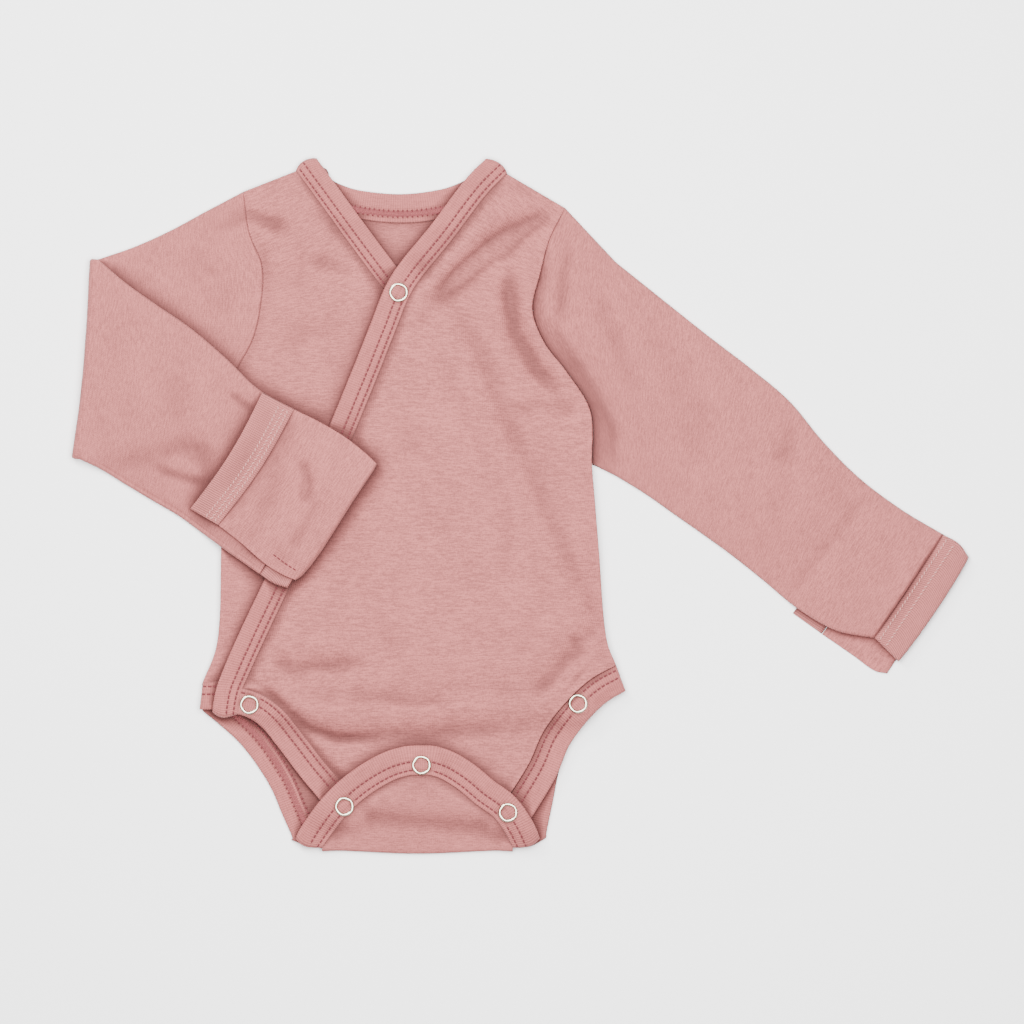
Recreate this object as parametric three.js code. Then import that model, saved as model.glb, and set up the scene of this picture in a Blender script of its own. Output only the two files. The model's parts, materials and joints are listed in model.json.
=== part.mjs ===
// A newborn's long-sleeved wrap bodysuit, laid flat on a table, in millimetres, +Z up.
// It is seen from above with the neck towards +Y. Every sewn piece is a wall of its own,
// laid on the pieces below it, with the left sleeve folded over the front at the elbow.
import * as THREE from 'three';

// Driving sizes.
const CLOTH = 1.0;          // one layer of jersey
const RIB = 1.8;            // a folded rib binding
const HEM_WALL = 1.3;       // one wall of the rib band at a sleeve's end
const GAP = 0.3;            // clearance between pieces, at seams and between layers
const SLACK = 0.6;          // least air inside a flattened sleeve
const SNAP_OUTER = 4.75;    // snap ring, outer radius
const SNAP_INNER = 3.35;    // snap ring, inner radius
const SNAP_RISE = 0.9;      // snap ring, height above the cloth
const STUD_RADIUS = 3.5;    // hidden stud and socket, closed
const STUD_HEIGHT = 1.4;
const FRONT_PUFF = 1.1;     // how far each piece swells over flat cloth
const UNDER_PUFF = 0.4;
const RIGHT_SLEEVE_PUFF = 0.9;
const LEFT_SLEEVE_PUFF = 0.3;
const RIGHT_CUFF_PUFF = 0.5;
const LEFT_CUFF_PUFF = 0.2;
const MITTEN_END_BULGE = 4.0;   // how far the mitten's closed end bows out in plan
const END_REACH = 2.4;          // how far its cloth rounds out past that end

// Widths of the bindings, at the start and at the end of each.
const BACK_NECK_WIDTHS = [12.6, 11.4];
const BACK_LEG_LEFT_WIDTHS = [12.0, 12.6];
const BACK_LEG_RIGHT_WIDTHS = [13.2, 12.0];
const UNDER_NECK_WIDTHS = [12.0, 11.4];
const UNDER_HEM_WIDTHS = [13.2, 12.0];
const WRAP_WIDTHS = [12.4, 13.8];
const LEG_LEFT_WIDTHS = [11.4, 13.6];
const LEG_RIGHT_WIDTHS = [13.6, 12.0];
const FLAP_WIDTHS = [14.2, 14.2];

const COLOURS = { jersey: 0xc99c98, rib: 0xc79893, metal: 0xd0cdc8 };

// The seam that each panel ends at, one row for each section across the body:
// the left end of the row, then its right end.
const row = (lx, ly, rx, ry) => [new THREE.Vector2(lx, ly), new THREE.Vector2(rx, ry)];

const SHOULDER_LEFT = new THREE.Vector2(-108.6, 162.2);
const SHOULDER_RIGHT = new THREE.Vector2(-6.3, 160.8);
const BACK_NECK_DIP = [
  [-101, 148.5], [-87, 141], [-72, 138], [-57.7, 137], [-44, 138], [-29, 141.2], [-14.8, 148.6],
];

const BACK_BODY = [
  // left x, left y, right x, right y
  row(-134.2, 152.1, 21.8, 144.3),
  row(-131.2, 132, 14.6, 129),
  row(-125.0, 116, 12.0, 112),
  row(-125.6, 98, 8.2, 95),
  row(-129.4, 81, 12.6, 79),
  row(-137.6, 65, 22.5, 65),
  row(-144.3, 46, 34.0, 46),
  row(-144.7, 34, 34.9, 20),
  row(-144.9, 5, 36.3, 3),
  row(-145.0, -22, 38.3, -22),
  row(-147.2, -68, 42.3, -66),
  row(-153.8, -85.5, 46.6, -77.4),
];
const BACK_LEGS = [
  row(-153.8, -85.5, 46.6, -77.4),
  row(-139.5, -96.5, 34.0, -84.5),
  row(-127.5, -107.5, 22.2, -95.5),
  row(-118.0, -119.7, 11.5, -109.5),
  row(-110.3, -132.5, 5.5, -124.5),
  row(-104.6, -146, 1.6, -142),
  row(-99.5, -157.5, -1.5, -156),
  row(-96.0, -166.1, -3.5, -166.1),
];
const FLAP = [
  row(-96.0, -166.1, -3.5, -166.1),
  row(-90.5, -158.5, -7.5, -158.5),
  row(-85.5, -152, -12.8, -151.4),
  row(-79.0, -145.3, -21.5, -145),
  row(-69.9, -138.3, -30.1, -137.8),
  row(-60.0, -132.9, -38.5, -132.6),
  row(-53.0, -130.9, -44.0, -130.8),
];
const UNDER_BODY = [
  row(-134.2, 152.1, -108.6, 162.2),
  row(-131.2, 132, -97.5, 147),
  row(-125.0, 116, -85.5, 130.5),
  row(-125.6, 98, -66.8, 105.5),
  row(-129.4, 81, -50.5, 85),
  row(-137.6, 65, -40.0, 65),
  row(-144.3, 46, -32.0, 46),
  row(-144.7, 34, -26.5, 32),
  row(-144.9, 5, -14.0, 5),
  row(-145.0, -22, -2.5, -22),
  row(-147.2, -68, 19.5, -68),
  row(-153.8, -85.5, 28.0, -85.5),
];
const OVER_BODY = [
  row(-6.3, 160.8, 21.8, 144.3),
  row(-15.5, 151.5, 14.6, 129),
  row(-33.0, 128.5, 12.0, 112),
  row(-52.0, 104.2, 8.2, 95),
  row(-60.5, 84, 12.6, 79),
  row(-67.9, 65.2, 22.5, 65),
  row(-75.5, 46.5, 34.0, 46),
  row(-83.5, 27, 34.9, 20),
  row(-92.5, 4.5, 36.3, 3),
  row(-103.5, -22, 38.3, -22),
  row(-124.6, -67, 42.3, -66),
  row(-134.4, -88.6, 46.6, -77.4),
];
const OVER_LEGS = [
  row(-134.4, -88.6, 46.6, -77.4),
  row(-124.5, -92.0, 34.0, -84.5),
  row(-115.4, -98.7, 22.2, -95.5),
  row(-105.5, -110.6, 11.5, -109.5),
  row(-95.6, -123.4, 4.6, -124.7),
  row(-87.2, -133.3, -4.3, -139.2),
  row(-81.0, -141.5, -10.5, -148.5),
];

// Sections across the sleeves, from the underarm edge to the overarm edge.
const RIGHT_SLEEVE = [
  row(46.5, 14.3, 46.5, 118),
  row(61, 5.4, 69, 100),
  row(75, -4.5, 91, 82.5),
  row(90, -15.0, 112, 66.4),
  row(104, -25.2, 130.5, 50.8),
  row(118, -36.4, 147, 31),
  row(134, -49.6, 165, 13),
  row(153.5, -60.8, 186, -2.6),
  row(171.9, -64.3, 205.4, -14.1),
];
const RIGHT_CUFF = [
  row(172.2, -64.6, 205.8, -14.4),
  row(177.6, -69.9, 213.0, -18.6),
  row(182.8, -74.9, 217.0, -24.6),
];
const LEFT_UPPER_SLEEVE = [
  row(-160, 39.5, -152.5, 142.5),
  row(-178, 34.8, -169.5, 133.3),
  row(-196, 30.2, -186.5, 125.6),
  row(-213.5, 22.4, -204.6, 117.6),
];
const LEFT_FOREARM = [
  row(-213.5, 22.4, -204.6, 117.6),
  row(-203.5, 17.6, -191.0, 107.8),
  row(-191.5, 10.3, -176.5, 97.5),
  row(-178.0, 2.2, -160.0, 86.2),
  row(-166.0, -4.8, -143.0, 71.8),
  row(-154.0, -13.5, -126.5, 56.2),
  row(-141.0, -23.0, -105.5, 44.6),
  row(-126.5, -33.2, -85.0, 32.5),
];
const LEFT_CUFF = [
  row(-126.2, -33.5, -84.7, 32.2),
  row(-119.5, -37.8, -78.5, 27.4),
  row(-113.0, -40.0, -73.0, 22.6),
];

// The fold-over mittens: their hem band first, then the mitten out to its closed end.
const LEFT_MITTEN_BAND = [row(-160.0, -1.6, -125.2, 54.6), row(-146.4, -9.4, -109.6, 46.6)];
const LEFT_MITTEN = [
  row(-146.1, -9.6, -109.3, 46.4),
  row(-135.6, -18.0, -96.5, 40.2),
  row(-123.0, -28.8, -84.0, 32.6),
  row(-114.5, -33.9, -74.0, 24.6),
  row(-109.4, -36.0, -69.9, 20.6),
];
const RIGHT_MITTEN_BAND = [row(132.4, -49.6, 170.0, -2.4), row(146.5, -60.5, 184.0, -11.0)];
const RIGHT_MITTEN = [
  row(146.7, -60.7, 184.2, -11.2),
  row(161.0, -71.0, 199.0, -19.0),
  row(172.5, -79.4, 208.0, -24.5),
  row(178.0, -80.4, 213.0, -29.0),
];

// Soft folds in the cloth: a line, how wide it is and how high it lifts or sinks the panel.
const fold = (x1, y1, x2, y2, width, lift) => ({ x1, y1, x2, y2, width, lift });
const FRONT_FOLDS = [
  fold(17, 140, -30, 114, 10, 1.2),
  fold(5, 97, 15, 70, 6, 1.6),
  fold(15, 70, 30, 50, 6, 1.6),
  fold(-4, 98, 10, 63, 6, -1.0),
  fold(-47, 92, -38, 78, 9, -0.8),
  fold(-124, -76, -87, -75, 7, -0.9),
  fold(-128, -90, -102, -103, 5, -1.0),
  fold(-102, -103, -73, -111, 5, -1.0),
  fold(-73, -111, -12, -108, 6, -1.0),
  fold(-70, -100, -20, -98, 9, 0.9),
  fold(34, -58, 14, -88, 7, -0.9),
  fold(24, -50, 2, -84, 8, 0.8),
];
const UNDER_FOLDS = [
  fold(-131, 140, -108, 132, 7, -0.9),
  fold(-125, 122, -104, 118, 8, 0.8),
  fold(-143, -10, -142, -60, 8, 0.7),
];
const RIGHT_SLEEVE_FOLDS = [
  fold(22, 95, 34, 60, 8, -0.9),
  fold(44, 92, 62, 30, 10, 0.8),
  fold(137, 44, 122, 18, 6, -0.9),
  fold(150, 20, 128, -20, 8, 0.8),
  fold(90, 60, 84, 10, 9, -0.6),
  fold(176, 0, 160, -40, 8, 0.6),
];
const LEFT_SLEEVE_FOLDS = [
  fold(-133, 50, -150, 38, 5, 0.8),
  fold(-143, 14, -160, 10, 6, 0.8),
  fold(-190, 90, -178, 30, 9, 0.7),
  fold(-160, 70, -166, 20, 8, -0.6),
];

// Snaps: name, x, y and the piece that each one closes.
const snap = (name, x, y, closes) => ({ name, x, y, closes });
const SNAPS = [
  snap('neck', -58.9, 103.4, 'front'),
  snap('hip_left', -131.3, -96.6, 'front'),
  snap('hip_right', 28.1, -96.1, 'front'),
  snap('flap_left', -85.2, -146.0, 'flap'),
  snap('flap_top', -47.8, -125.9, 'flap'),
  snap('flap_right', -5.8, -148.9, 'flap'),
];

const model = new THREE.Group();

// Height to which soft folds lift a panel at a point, over its general puff.
function foldLift(x, y, folds, puff) {
  let lift = puff;
  for (const f of folds) {
    const along = new THREE.Vector2(f.x2 - f.x1, f.y2 - f.y1);
    const t = ((x - f.x1) * along.x + (y - f.y1) * along.y) / along.lengthSq();
    const near = THREE.MathUtils.clamp(t, 0, 1);
    const away = Math.hypot(x - f.x1 - near * along.x, y - f.y1 - near * along.y);
    lift += f.lift * Math.exp(-((away / f.width) ** 2));
  }
  return Math.max(0, lift);
}

// How high the cloth lies at each spot of the table, so that the next piece lies on it.
const PILE_OVERSAMPLING = 1.6;
class Pile {
  constructor() {
    this.pitch = 1;
    this.halfX = 240;
    this.halfY = 190;
    this.columns = (2 * this.halfX) / this.pitch + 1;
    this.heights = new Float32Array(this.columns * ((2 * this.halfY) / this.pitch + 1));
  }

  cell(x, y) {
    const column = Math.round((x + this.halfX) / this.pitch);
    return Math.round((y + this.halfY) / this.pitch) * this.columns + column;
  }

  // Records the top of a laid piece, given as rows of points.
  add(rows) {
    for (let i = 0; i + 1 < rows.length; i++) {
      for (let j = 0; j + 1 < rows[i].length; j++) {
        const [a, b, c, d] = [rows[i][j], rows[i][j + 1], rows[i + 1][j], rows[i + 1][j + 1]];
        const span = Math.max(a.distanceTo(b), c.distanceTo(d), a.distanceTo(c), b.distanceTo(d));
        const steps = Math.ceil((PILE_OVERSAMPLING * span) / this.pitch) + 1;
        for (let s = 0; s <= steps; s++) {
          for (let t = 0; t <= steps; t++) this.press(a, b, c, d, s / steps, t / steps);
        }
      }
    }
  }

  // One spot of a cell of the top, on the two triangles that the cell is made of.
  press(a, b, c, d, s, t) {
    const near = s + t <= 1;
    const [corner, alongB, alongC] = near ? [a, b, c] : [d, c, b];
    const [p, q] = near ? [t, s] : [1 - t, 1 - s];
    const at = (key) => corner[key] + (alongB[key] - corner[key]) * p + (alongC[key] - corner[key]) * q;
    const cell = this.cell(at('x'), at('y'));
    this.heights[cell] = Math.max(this.heights[cell], at('z'));
  }

  // The level at which a piece lies here, clear of all that is within reach of the point.
  level(x, y, reach) {
    const r = Math.ceil(reach / this.pitch) + 1;
    let highest = 0;
    for (let i = -r; i <= r; i++) {
      for (let j = -r; j <= r; j++) {
        if (i * i + j * j <= r * r) {
          const cell = this.cell(x + i * this.pitch, y + j * this.pitch);
          highest = Math.max(highest, this.heights[cell]);
        }
      }
    }
    return highest > 0 ? highest + GAP : 0;
  }
}

// Points of a smooth curve through the given ones, with the same number of steps in each span.
function smooth(points, steps) {
  const corners = points.map((p) => new THREE.Vector3(p.x, p.y, 0));
  const curve = new THREE.CatmullRomCurve3(corners, false, 'centripetal');
  const count = (points.length - 1) * steps;
  return Array.from({ length: count + 1 }, (_, k) => {
    const p = curve.getPoint(k / count);
    return new THREE.Vector2(p.x, p.y);
  });
}

// A panel's plan as rows of points: smooth edges through the table's rows, straight across.
function ruled(sections, steps, shares) {
  const left = smooth(sections.map((s) => s[0]), steps);
  const right = smooth(sections.map((s) => s[1]), steps);
  return left.map((start, i) => shares.map((u) => start.clone().lerp(right[i], u)));
}

const evenShares = (count) => Array.from({ length: count + 1 }, (_, k) => k / count);

// Spacing of the points round a place in a grid, the reach of its triangles.
function spacing(grid, i, j) {
  let reach = 0;
  for (const di of [-1, 0, 1]) {
    for (const dj of [-1, 0, 1]) {
      const other = grid[i + di]?.[j + dj];
      if (other) reach = Math.max(reach, Math.hypot(other.x - grid[i][j].x, other.y - grid[i][j].y));
    }
  }
  return reach;
}

// The level of each point of a plan when it is laid on the pile.
function lay(grid, pile) {
  return grid.map((points, i) => points.map((p, j) => pile.level(p.x, p.y, spacing(grid, i, j))));
}

// A plan's points at the heights that a function of the row and column gives.
function lift(grid, height) {
  return grid.map((points, i) => points.map((p, j) => new THREE.Vector3(p.x, p.y, height(i, j))));
}

// Adds a closed piece of cloth, with its triangles turned to face out.
function addCloth(name, vertices, triangles, colour) {
  const geometry = new THREE.BufferGeometry();
  const coordinates = vertices.flatMap((v) => [v.x, v.y, v.z]);
  geometry.setAttribute('position', new THREE.Float32BufferAttribute(coordinates, 3));
  let volume = 0;
  for (const [a, b, c] of triangles) {
    volume += vertices[a].dot(new THREE.Vector3().crossVectors(vertices[b], vertices[c]));
  }
  const outward = volume > 0 ? triangles : triangles.map(([a, b, c]) => [a, c, b]);
  geometry.setIndex(outward.flat());
  geometry.computeVertexNormals();
  const material = new THREE.MeshStandardMaterial({ color: colour, roughness: 0.9, metalness: 0 });
  const mesh = new THREE.Mesh(geometry, material);
  mesh.name = name;
  model.add(mesh);
}

// A closed wall between two grids of points, one for its underside and one for its top.
function wall(name, under, over, colour) {
  const rows = under.length;
  const columns = under[0].length;
  const vertices = [...under.flat(), ...over.flat()];
  const low = (i, j) => i * columns + j;
  const high = (i, j) => rows * columns + low(i, j);
  const triangles = [];
  const quad = (a, b, c, d) => triangles.push([a, b, c], [b, d, c]);
  for (let i = 0; i + 1 < rows; i++) {
    for (let j = 0; j + 1 < columns; j++) {
      quad(high(i, j), high(i, j + 1), high(i + 1, j), high(i + 1, j + 1));
      quad(low(i, j + 1), low(i, j), low(i + 1, j + 1), low(i + 1, j));
    }
    quad(low(i, 0), high(i, 0), low(i + 1, 0), high(i + 1, 0));
    quad(high(i, columns - 1), low(i, columns - 1), high(i + 1, columns - 1), low(i + 1, columns - 1));
  }
  for (let j = 0; j + 1 < columns; j++) {
    quad(high(0, j), low(0, j), high(0, j + 1), low(0, j + 1));
    quad(low(rows - 1, j), high(rows - 1, j), low(rows - 1, j + 1), high(rows - 1, j + 1));
  }
  addCloth(name, vertices, triangles, colour);
}

// A tube wall between outer and inner rings, open at both ends.
function tube(name, outer, inner, colour) {
  const rings = outer.length;
  const around = outer[0].length;
  const vertices = [...outer.flat(), ...inner.flat()];
  const out = (i, j) => i * around + (j % around);
  const into = (i, j) => rings * around + out(i, j);
  const triangles = [];
  const quad = (a, b, c, d) => triangles.push([a, b, c], [b, d, c]);
  for (let j = 0; j < around; j++) {
    for (let i = 0; i + 1 < rings; i++) {
      quad(out(i, j), out(i, j + 1), out(i + 1, j), out(i + 1, j + 1));
      quad(into(i, j + 1), into(i, j), into(i + 1, j + 1), into(i + 1, j));
    }
    quad(out(0, j + 1), out(0, j), into(0, j + 1), into(0, j));
    quad(out(rings - 1, j), out(rings - 1, j + 1), into(rings - 1, j), into(rings - 1, j + 1));
  }
  addCloth(name, vertices, triangles, colour);
}

// The plan of a binding: a strip made from the points of a panel's edge, moved out. The
// binding lies on the right of the edge's direction. Its ends are cut along startCut and endCut.
const BINDING_SHARES = [0, 0.5, 0.9, 1];
function bindingPlan(edge, [widthFrom, widthTo], startCut, endCut) {
  const last = edge.length - 1;
  return edge.map((p, k) => {
    const ahead = edge[Math.min(k + 1, last)].clone().sub(edge[Math.max(k - 1, 0)]).normalize();
    let out = new THREE.Vector2(ahead.y, -ahead.x);
    if (k === 0 && startCut) out = startCut.clone().normalize();
    if (k === last && endCut) out = endCut.clone().normalize();
    const width = THREE.MathUtils.lerp(widthFrom, widthTo, k / last);
    return BINDING_SHARES.map((share) => p.clone().addScaledVector(out, GAP + share * width));
  });
}

// A binding's wall: flat where it meets the panel and rounded at its folded free edge.
const FREE_EDGE = BINDING_SHARES.length - 1;
const FREE_EDGE_ROUND = 0.55;
function binding(name, plan, levels) {
  const round = (j) => (j === FREE_EDGE ? FREE_EDGE_ROUND : 0);
  const under = lift(plan, (i, j) => levels[i][j] + round(j));
  const over = lift(plan, (i, j) => levels[i][j] + RIB - round(j));
  wall(name, under, over, COLOURS.rib);
  return over;
}

function panel(name, plan, levels, rise) {
  const under = lift(plan, (i, j) => levels[i][j] + rise(plan[i][j].x, plan[i][j].y));
  const over = lift(plan, (i, j) => under[i][j].z + CLOTH);
  wall(name, under, over, COLOURS.jersey);
  return over;
}

const leftEdge = (plan) => plan.map((points) => points[0]);
const rightEdge = (plan) => plan.map((points) => points[points.length - 1]);
const cut = (x, y) => new THREE.Vector2(x, y);

// Directions in which the bindings' ends are cut.
const SHOULDER_CUT_LEFT = cut(-0.82, 0.57);
const SHOULDER_CUT_RIGHT = cut(0.86, 0.52);
const HIP_CUT_RIGHT = cut(0.35, -0.94);
const TAIL_CUT_LEFT = cut(-1, 0.05);
const TAIL_CUT_RIGHT = cut(1, 0.05);

// Layer 1: the back, flat on the table. Its first row follows the shoulders and the neck.
const pile = new Pile();
const BODY_STEPS = 2;
const BACK_COLUMNS = 12;
const BACK_SHARES = evenShares(BACK_COLUMNS);
const SHOULDER_COLUMNS = 2;
const bodyRows = ruled(BACK_BODY, BODY_STEPS, BACK_SHARES);
const neckRow = [SHOULDER_LEFT, ...BACK_NECK_DIP.map(([x, y]) => cut(x, y)), SHOULDER_RIGHT];
const shoulderRow = (from, to) => evenShares(SHOULDER_COLUMNS).map((share) => from.clone().lerp(to, share));
const topRow = [
  ...shoulderRow(bodyRows[0][0], SHOULDER_LEFT).slice(0, -1),
  ...neckRow,
  ...shoulderRow(SHOULDER_RIGHT, bodyRows[0][BACK_COLUMNS]).slice(1),
];

// Below the neck the rows ease from its curve to a straight one, and keep their own ends.
const YOKE_ROWS = 6;
const straight = bodyRows[YOKE_ROWS];
const easedRow = (share) => topRow.map((p, j) => p.clone().lerp(straight[j], share));
for (let i = 0; i < YOKE_ROWS; i++) {
  const eased = easedRow(i / YOKE_ROWS);
  const leftShift = bodyRows[i][0].clone().sub(eased[0]);
  const rightShift = bodyRows[i][BACK_COLUMNS].clone().sub(eased[BACK_COLUMNS]);
  bodyRows[i] = eased.map((p, j) => {
    const across = j / BACK_COLUMNS;
    return p.addScaledVector(leftShift, 1 - across).addScaledVector(rightShift, across);
  });
}
const legRows = ruled(BACK_LEGS, BODY_STEPS, BACK_SHARES);
const backPlan = [...bodyRows, ...legRows.slice(1)];
const backUnder = lift(backPlan, () => 0);
const backOver = lift(backPlan, () => CLOTH);
const neckEdge = [...neckRow].reverse();
const legLeftEdge = leftEdge(legRows);
const legRightEdge = rightEdge(legRows).reverse();
const backBindings = [
  ['back_neck_binding', bindingPlan(neckEdge, BACK_NECK_WIDTHS, SHOULDER_CUT_LEFT, SHOULDER_CUT_RIGHT)],
  ['back_leg_binding_left', bindingPlan(legLeftEdge, BACK_LEG_LEFT_WIDTHS, cut(-0.1, -1), TAIL_CUT_LEFT)],
  ['back_leg_binding_right', bindingPlan(legRightEdge, BACK_LEG_RIGHT_WIDTHS, TAIL_CUT_RIGHT, HIP_CUT_RIGHT)],
];
const firstLayer = backBindings.map(([name, plan]) => binding(name, plan, lay(plan, pile)));
pile.add(backOver);
firstLayer.forEach((over) => pile.add(over));

// Adds a turned metal piece, stood up along Z at a height.
function addMetal(name, geometry, x, y, z) {
  geometry.rotateX(Math.PI / 2);
  const material = new THREE.MeshStandardMaterial({ color: COLOURS.metal, roughness: 0.3, metalness: 1 });
  const mesh = new THREE.Mesh(geometry, material);
  mesh.name = name;
  mesh.position.set(x, y, z);
  model.add(mesh);
}

// A snap's stud and socket meet between the two layers that it closes.
const STUD_SIDES = 16;
function stud({ name, x, y }) {
  const base = pile.level(x, y, STUD_RADIUS);
  const geometry = new THREE.CylinderGeometry(STUD_RADIUS, STUD_RADIUS, STUD_HEIGHT, STUD_SIDES);
  addMetal(`snap_stud_${name}`, geometry, x, y, base + STUD_HEIGHT / 2);
  const top = base + STUD_HEIGHT;
  const ends = [-STUD_RADIUS, STUD_RADIUS];
  pile.add(ends.map((dx) => ends.map((dy) => new THREE.Vector3(x + dx, y + dy, top))));
}

// A snap's ring lies on the cloth, round the prongs.
const RING_SIDES = 18;
const RING_ROUND = 0.35;
function ring({ name, x, y }) {
  const base = pile.level(x, y, SNAP_OUTER);
  const profile = [
    [SNAP_INNER, 0],
    [SNAP_OUTER, 0],
    [SNAP_OUTER, SNAP_RISE - RING_ROUND],
    [SNAP_OUTER - RING_ROUND, SNAP_RISE],
    [SNAP_INNER + RING_ROUND, SNAP_RISE],
    [SNAP_INNER, SNAP_RISE - RING_ROUND],
    [SNAP_INNER, 0],
  ].map(([radius, height]) => new THREE.Vector2(radius, height));
  addMetal(`snap_ring_${name}`, new THREE.LatheGeometry(profile, RING_SIDES), x, y, base);
}

const snapsThatClose = (piece) => SNAPS.filter((each) => each.closes === piece);

// Layer 2: the under front, from the left side seam across to the right hip, with its neck
// binding down the whole wrap edge and its hem binding along the bottom.
const UNDER_COLUMNS = 8;
const underPlan = ruled(UNDER_BODY, BODY_STEPS, evenShares(UNDER_COLUMNS));
const underHem = underPlan[underPlan.length - 1];
const underWrap = rightEdge(underPlan).reverse();
const underNeckPlan = bindingPlan(underWrap, UNDER_NECK_WIDTHS, cut(1, 0), SHOULDER_CUT_RIGHT);
const underHemPlan = bindingPlan(underHem, UNDER_HEM_WIDTHS, cut(-0.12, -1), cut(0, -1));
const underLevels = lay(underPlan, pile);
const underNeckLevels = lay(underNeckPlan, pile);
const underHemLevels = lay(underHemPlan, pile);
const secondLayer = [
  panel('front_under', underPlan, underLevels, (x, y) => foldLift(x, y, UNDER_FOLDS, UNDER_PUFF)),
  binding('front_under_neck_binding', underNeckPlan, underNeckLevels),
  binding('front_under_hem_binding', underHemPlan, underHemLevels),
];
secondLayer.forEach((over) => pile.add(over));
snapsThatClose('front').forEach(stud);

// Layer 3: the over front, from the right side seam across to the left hip and down to the
// crotch, with its wrap binding and its leg bindings.
const OVER_COLUMNS = 10;
const OVER_SHARES = evenShares(OVER_COLUMNS);
const overBody = ruled(OVER_BODY, BODY_STEPS, OVER_SHARES);
const overLegs = ruled(OVER_LEGS, BODY_STEPS, OVER_SHARES);
const overPlan = [...overBody, ...overLegs.slice(1)];
const wrapPlan = bindingPlan(leftEdge(overBody), WRAP_WIDTHS, SHOULDER_CUT_LEFT, cut(-1, 0.1));
const LEFT_HIP = [cut(-148.4, -88.4), cut(-141.4, -88.6)];
const overLegLeft = [...LEFT_HIP, ...leftEdge(overLegs)];
const overLegRight = rightEdge(overLegs).reverse();
const legLeftPlan = bindingPlan(overLegLeft, LEG_LEFT_WIDTHS, cut(0, -1), null);
const legRightPlan = bindingPlan(overLegRight, LEG_RIGHT_WIDTHS, null, HIP_CUT_RIGHT);
const overLevels = lay(overPlan, pile);
const overBindings = [
  ['front_over_wrap_binding', wrapPlan],
  ['front_leg_binding_left', legLeftPlan],
  ['front_leg_binding_right', legRightPlan],
].map(([name, plan]) => [name, plan, lay(plan, pile)]);
const overRise = (x, y) => foldLift(x, y, FRONT_FOLDS, FRONT_PUFF);
const thirdLayer = overBindings.map(([name, plan, levels]) => binding(name, plan, levels));
thirdLayer.push(panel('front_over', overPlan, overLevels, overRise));
thirdLayer.forEach((over) => pile.add(over));
snapsThatClose('flap').forEach(stud);

// Layer 4: the back's tail, folded up over the front at the crotch, with its binding.
const flapPlan = ruled(FLAP, BODY_STEPS, BACK_SHARES);
const flapTop = flapPlan[flapPlan.length - 1];
const flapEdge = [...rightEdge(flapPlan), flapTop[BACK_COLUMNS / 2], ...leftEdge(flapPlan).reverse()];
const flapBindingPlan = bindingPlan(flapEdge, FLAP_WIDTHS, TAIL_CUT_RIGHT, TAIL_CUT_LEFT);
const flapLevels = lay(flapPlan, pile);
const flapBindingLevels = lay(flapBindingPlan, pile);

// A point of cloth on its way round a fold: it starts flat on the table at a height and
// turns about an axis at axisHeight, bulging in the direction of out.
const FOLD_ANGLES = [0.25, 0.5, 0.75].map((turn) => turn * Math.PI);
function rounded(base, out, axisHeight, height, angle) {
  const radius = axisHeight - height;
  const reach = radius * Math.sin(angle);
  const z = axisHeight - radius * Math.cos(angle);
  return new THREE.Vector3(base.x + out.x * reach, base.y + out.y * reach, z);
}

const tailFold = flapPlan[0];
const tailAxis = flapLevels[0].map((level) => (CLOTH + level) / 2);
const TAIL_OUT = cut(0, -1);
function aroundTail(height) {
  return FOLD_ANGLES.map((angle) => tailFold.map((p, j) => rounded(p, TAIL_OUT, tailAxis[j], height, angle)));
}
const flapOutside = lift(flapPlan, (i, j) => flapLevels[i][j] + CLOTH);
const flapInside = lift(flapPlan, (i, j) => flapLevels[i][j]);
const backOutside = [...backUnder, ...aroundTail(0), ...flapOutside];
const backInside = [...backOver, ...aroundTail(CLOTH), ...flapInside];
wall('back', backOutside, backInside, COLOURS.jersey);
const flapBindingTop = binding('flap_binding', flapBindingPlan, flapBindingLevels);
pile.add(flapOutside);
pile.add(flapBindingTop);

// A flattened sleeve has a bottom and a top wall that meet in round edges. Its rings run from
// the underarm edge along the bottom to the overarm edge, and back along the top.
const EDGE_INSET = 0.035;   // share of the width that rounds down to each edge
const EDGE_WALL = 1.15;     // how far inside each edge the hollow starts
const ringShares = (shares) => [0, EDGE_INSET, ...shares.slice(1, -1), 1 - EDGE_INSET, 1];

// The outer and inner points of a ring, each with its place in plan and its height.
function ringPoints(plan, thickness, wallThickness) {
  const last = plan.length - 1;
  const outer = [];
  const inner = [];
  const push = (j, share) => {
    const p = plan[j];
    const full = thickness[j];
    const atEdge = j === 0 || j === last;
    const next = plan[j === 0 ? 1 : last - 1];
    const inward = atEdge ? next.clone().sub(p).setLength(EDGE_WALL) : cut(0, 0);
    outer.push({ x: p.x, y: p.y, height: share * full });
    const innerHeight = atEdge ? share * full : wallThickness + share * (full - 2 * wallThickness);
    inner.push({ x: p.x + inward.x, y: p.y + inward.y, height: innerHeight });
  };
  push(0, 0.5);
  for (let j = 1; j < last; j++) push(j, 0);
  push(last, 0.5);
  for (let j = last - 1; j > 0; j--) push(j, 1);
  return { outer, inner };
}

// Index across the plan for each point round the ring.
const acrossIndex = (count, k) => (k < count ? k : 2 * (count - 1) - k);

function sleeveThickness(plan, folds, puff, wallThickness) {
  return plan.map((points) => points.map((p, j) => {
    const bow = Math.sin((Math.PI * j) / (points.length - 1));
    return 2 * wallThickness + SLACK + Math.sqrt(bow) * foldLift(p.x, p.y, folds, puff);
  }));
}

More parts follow.
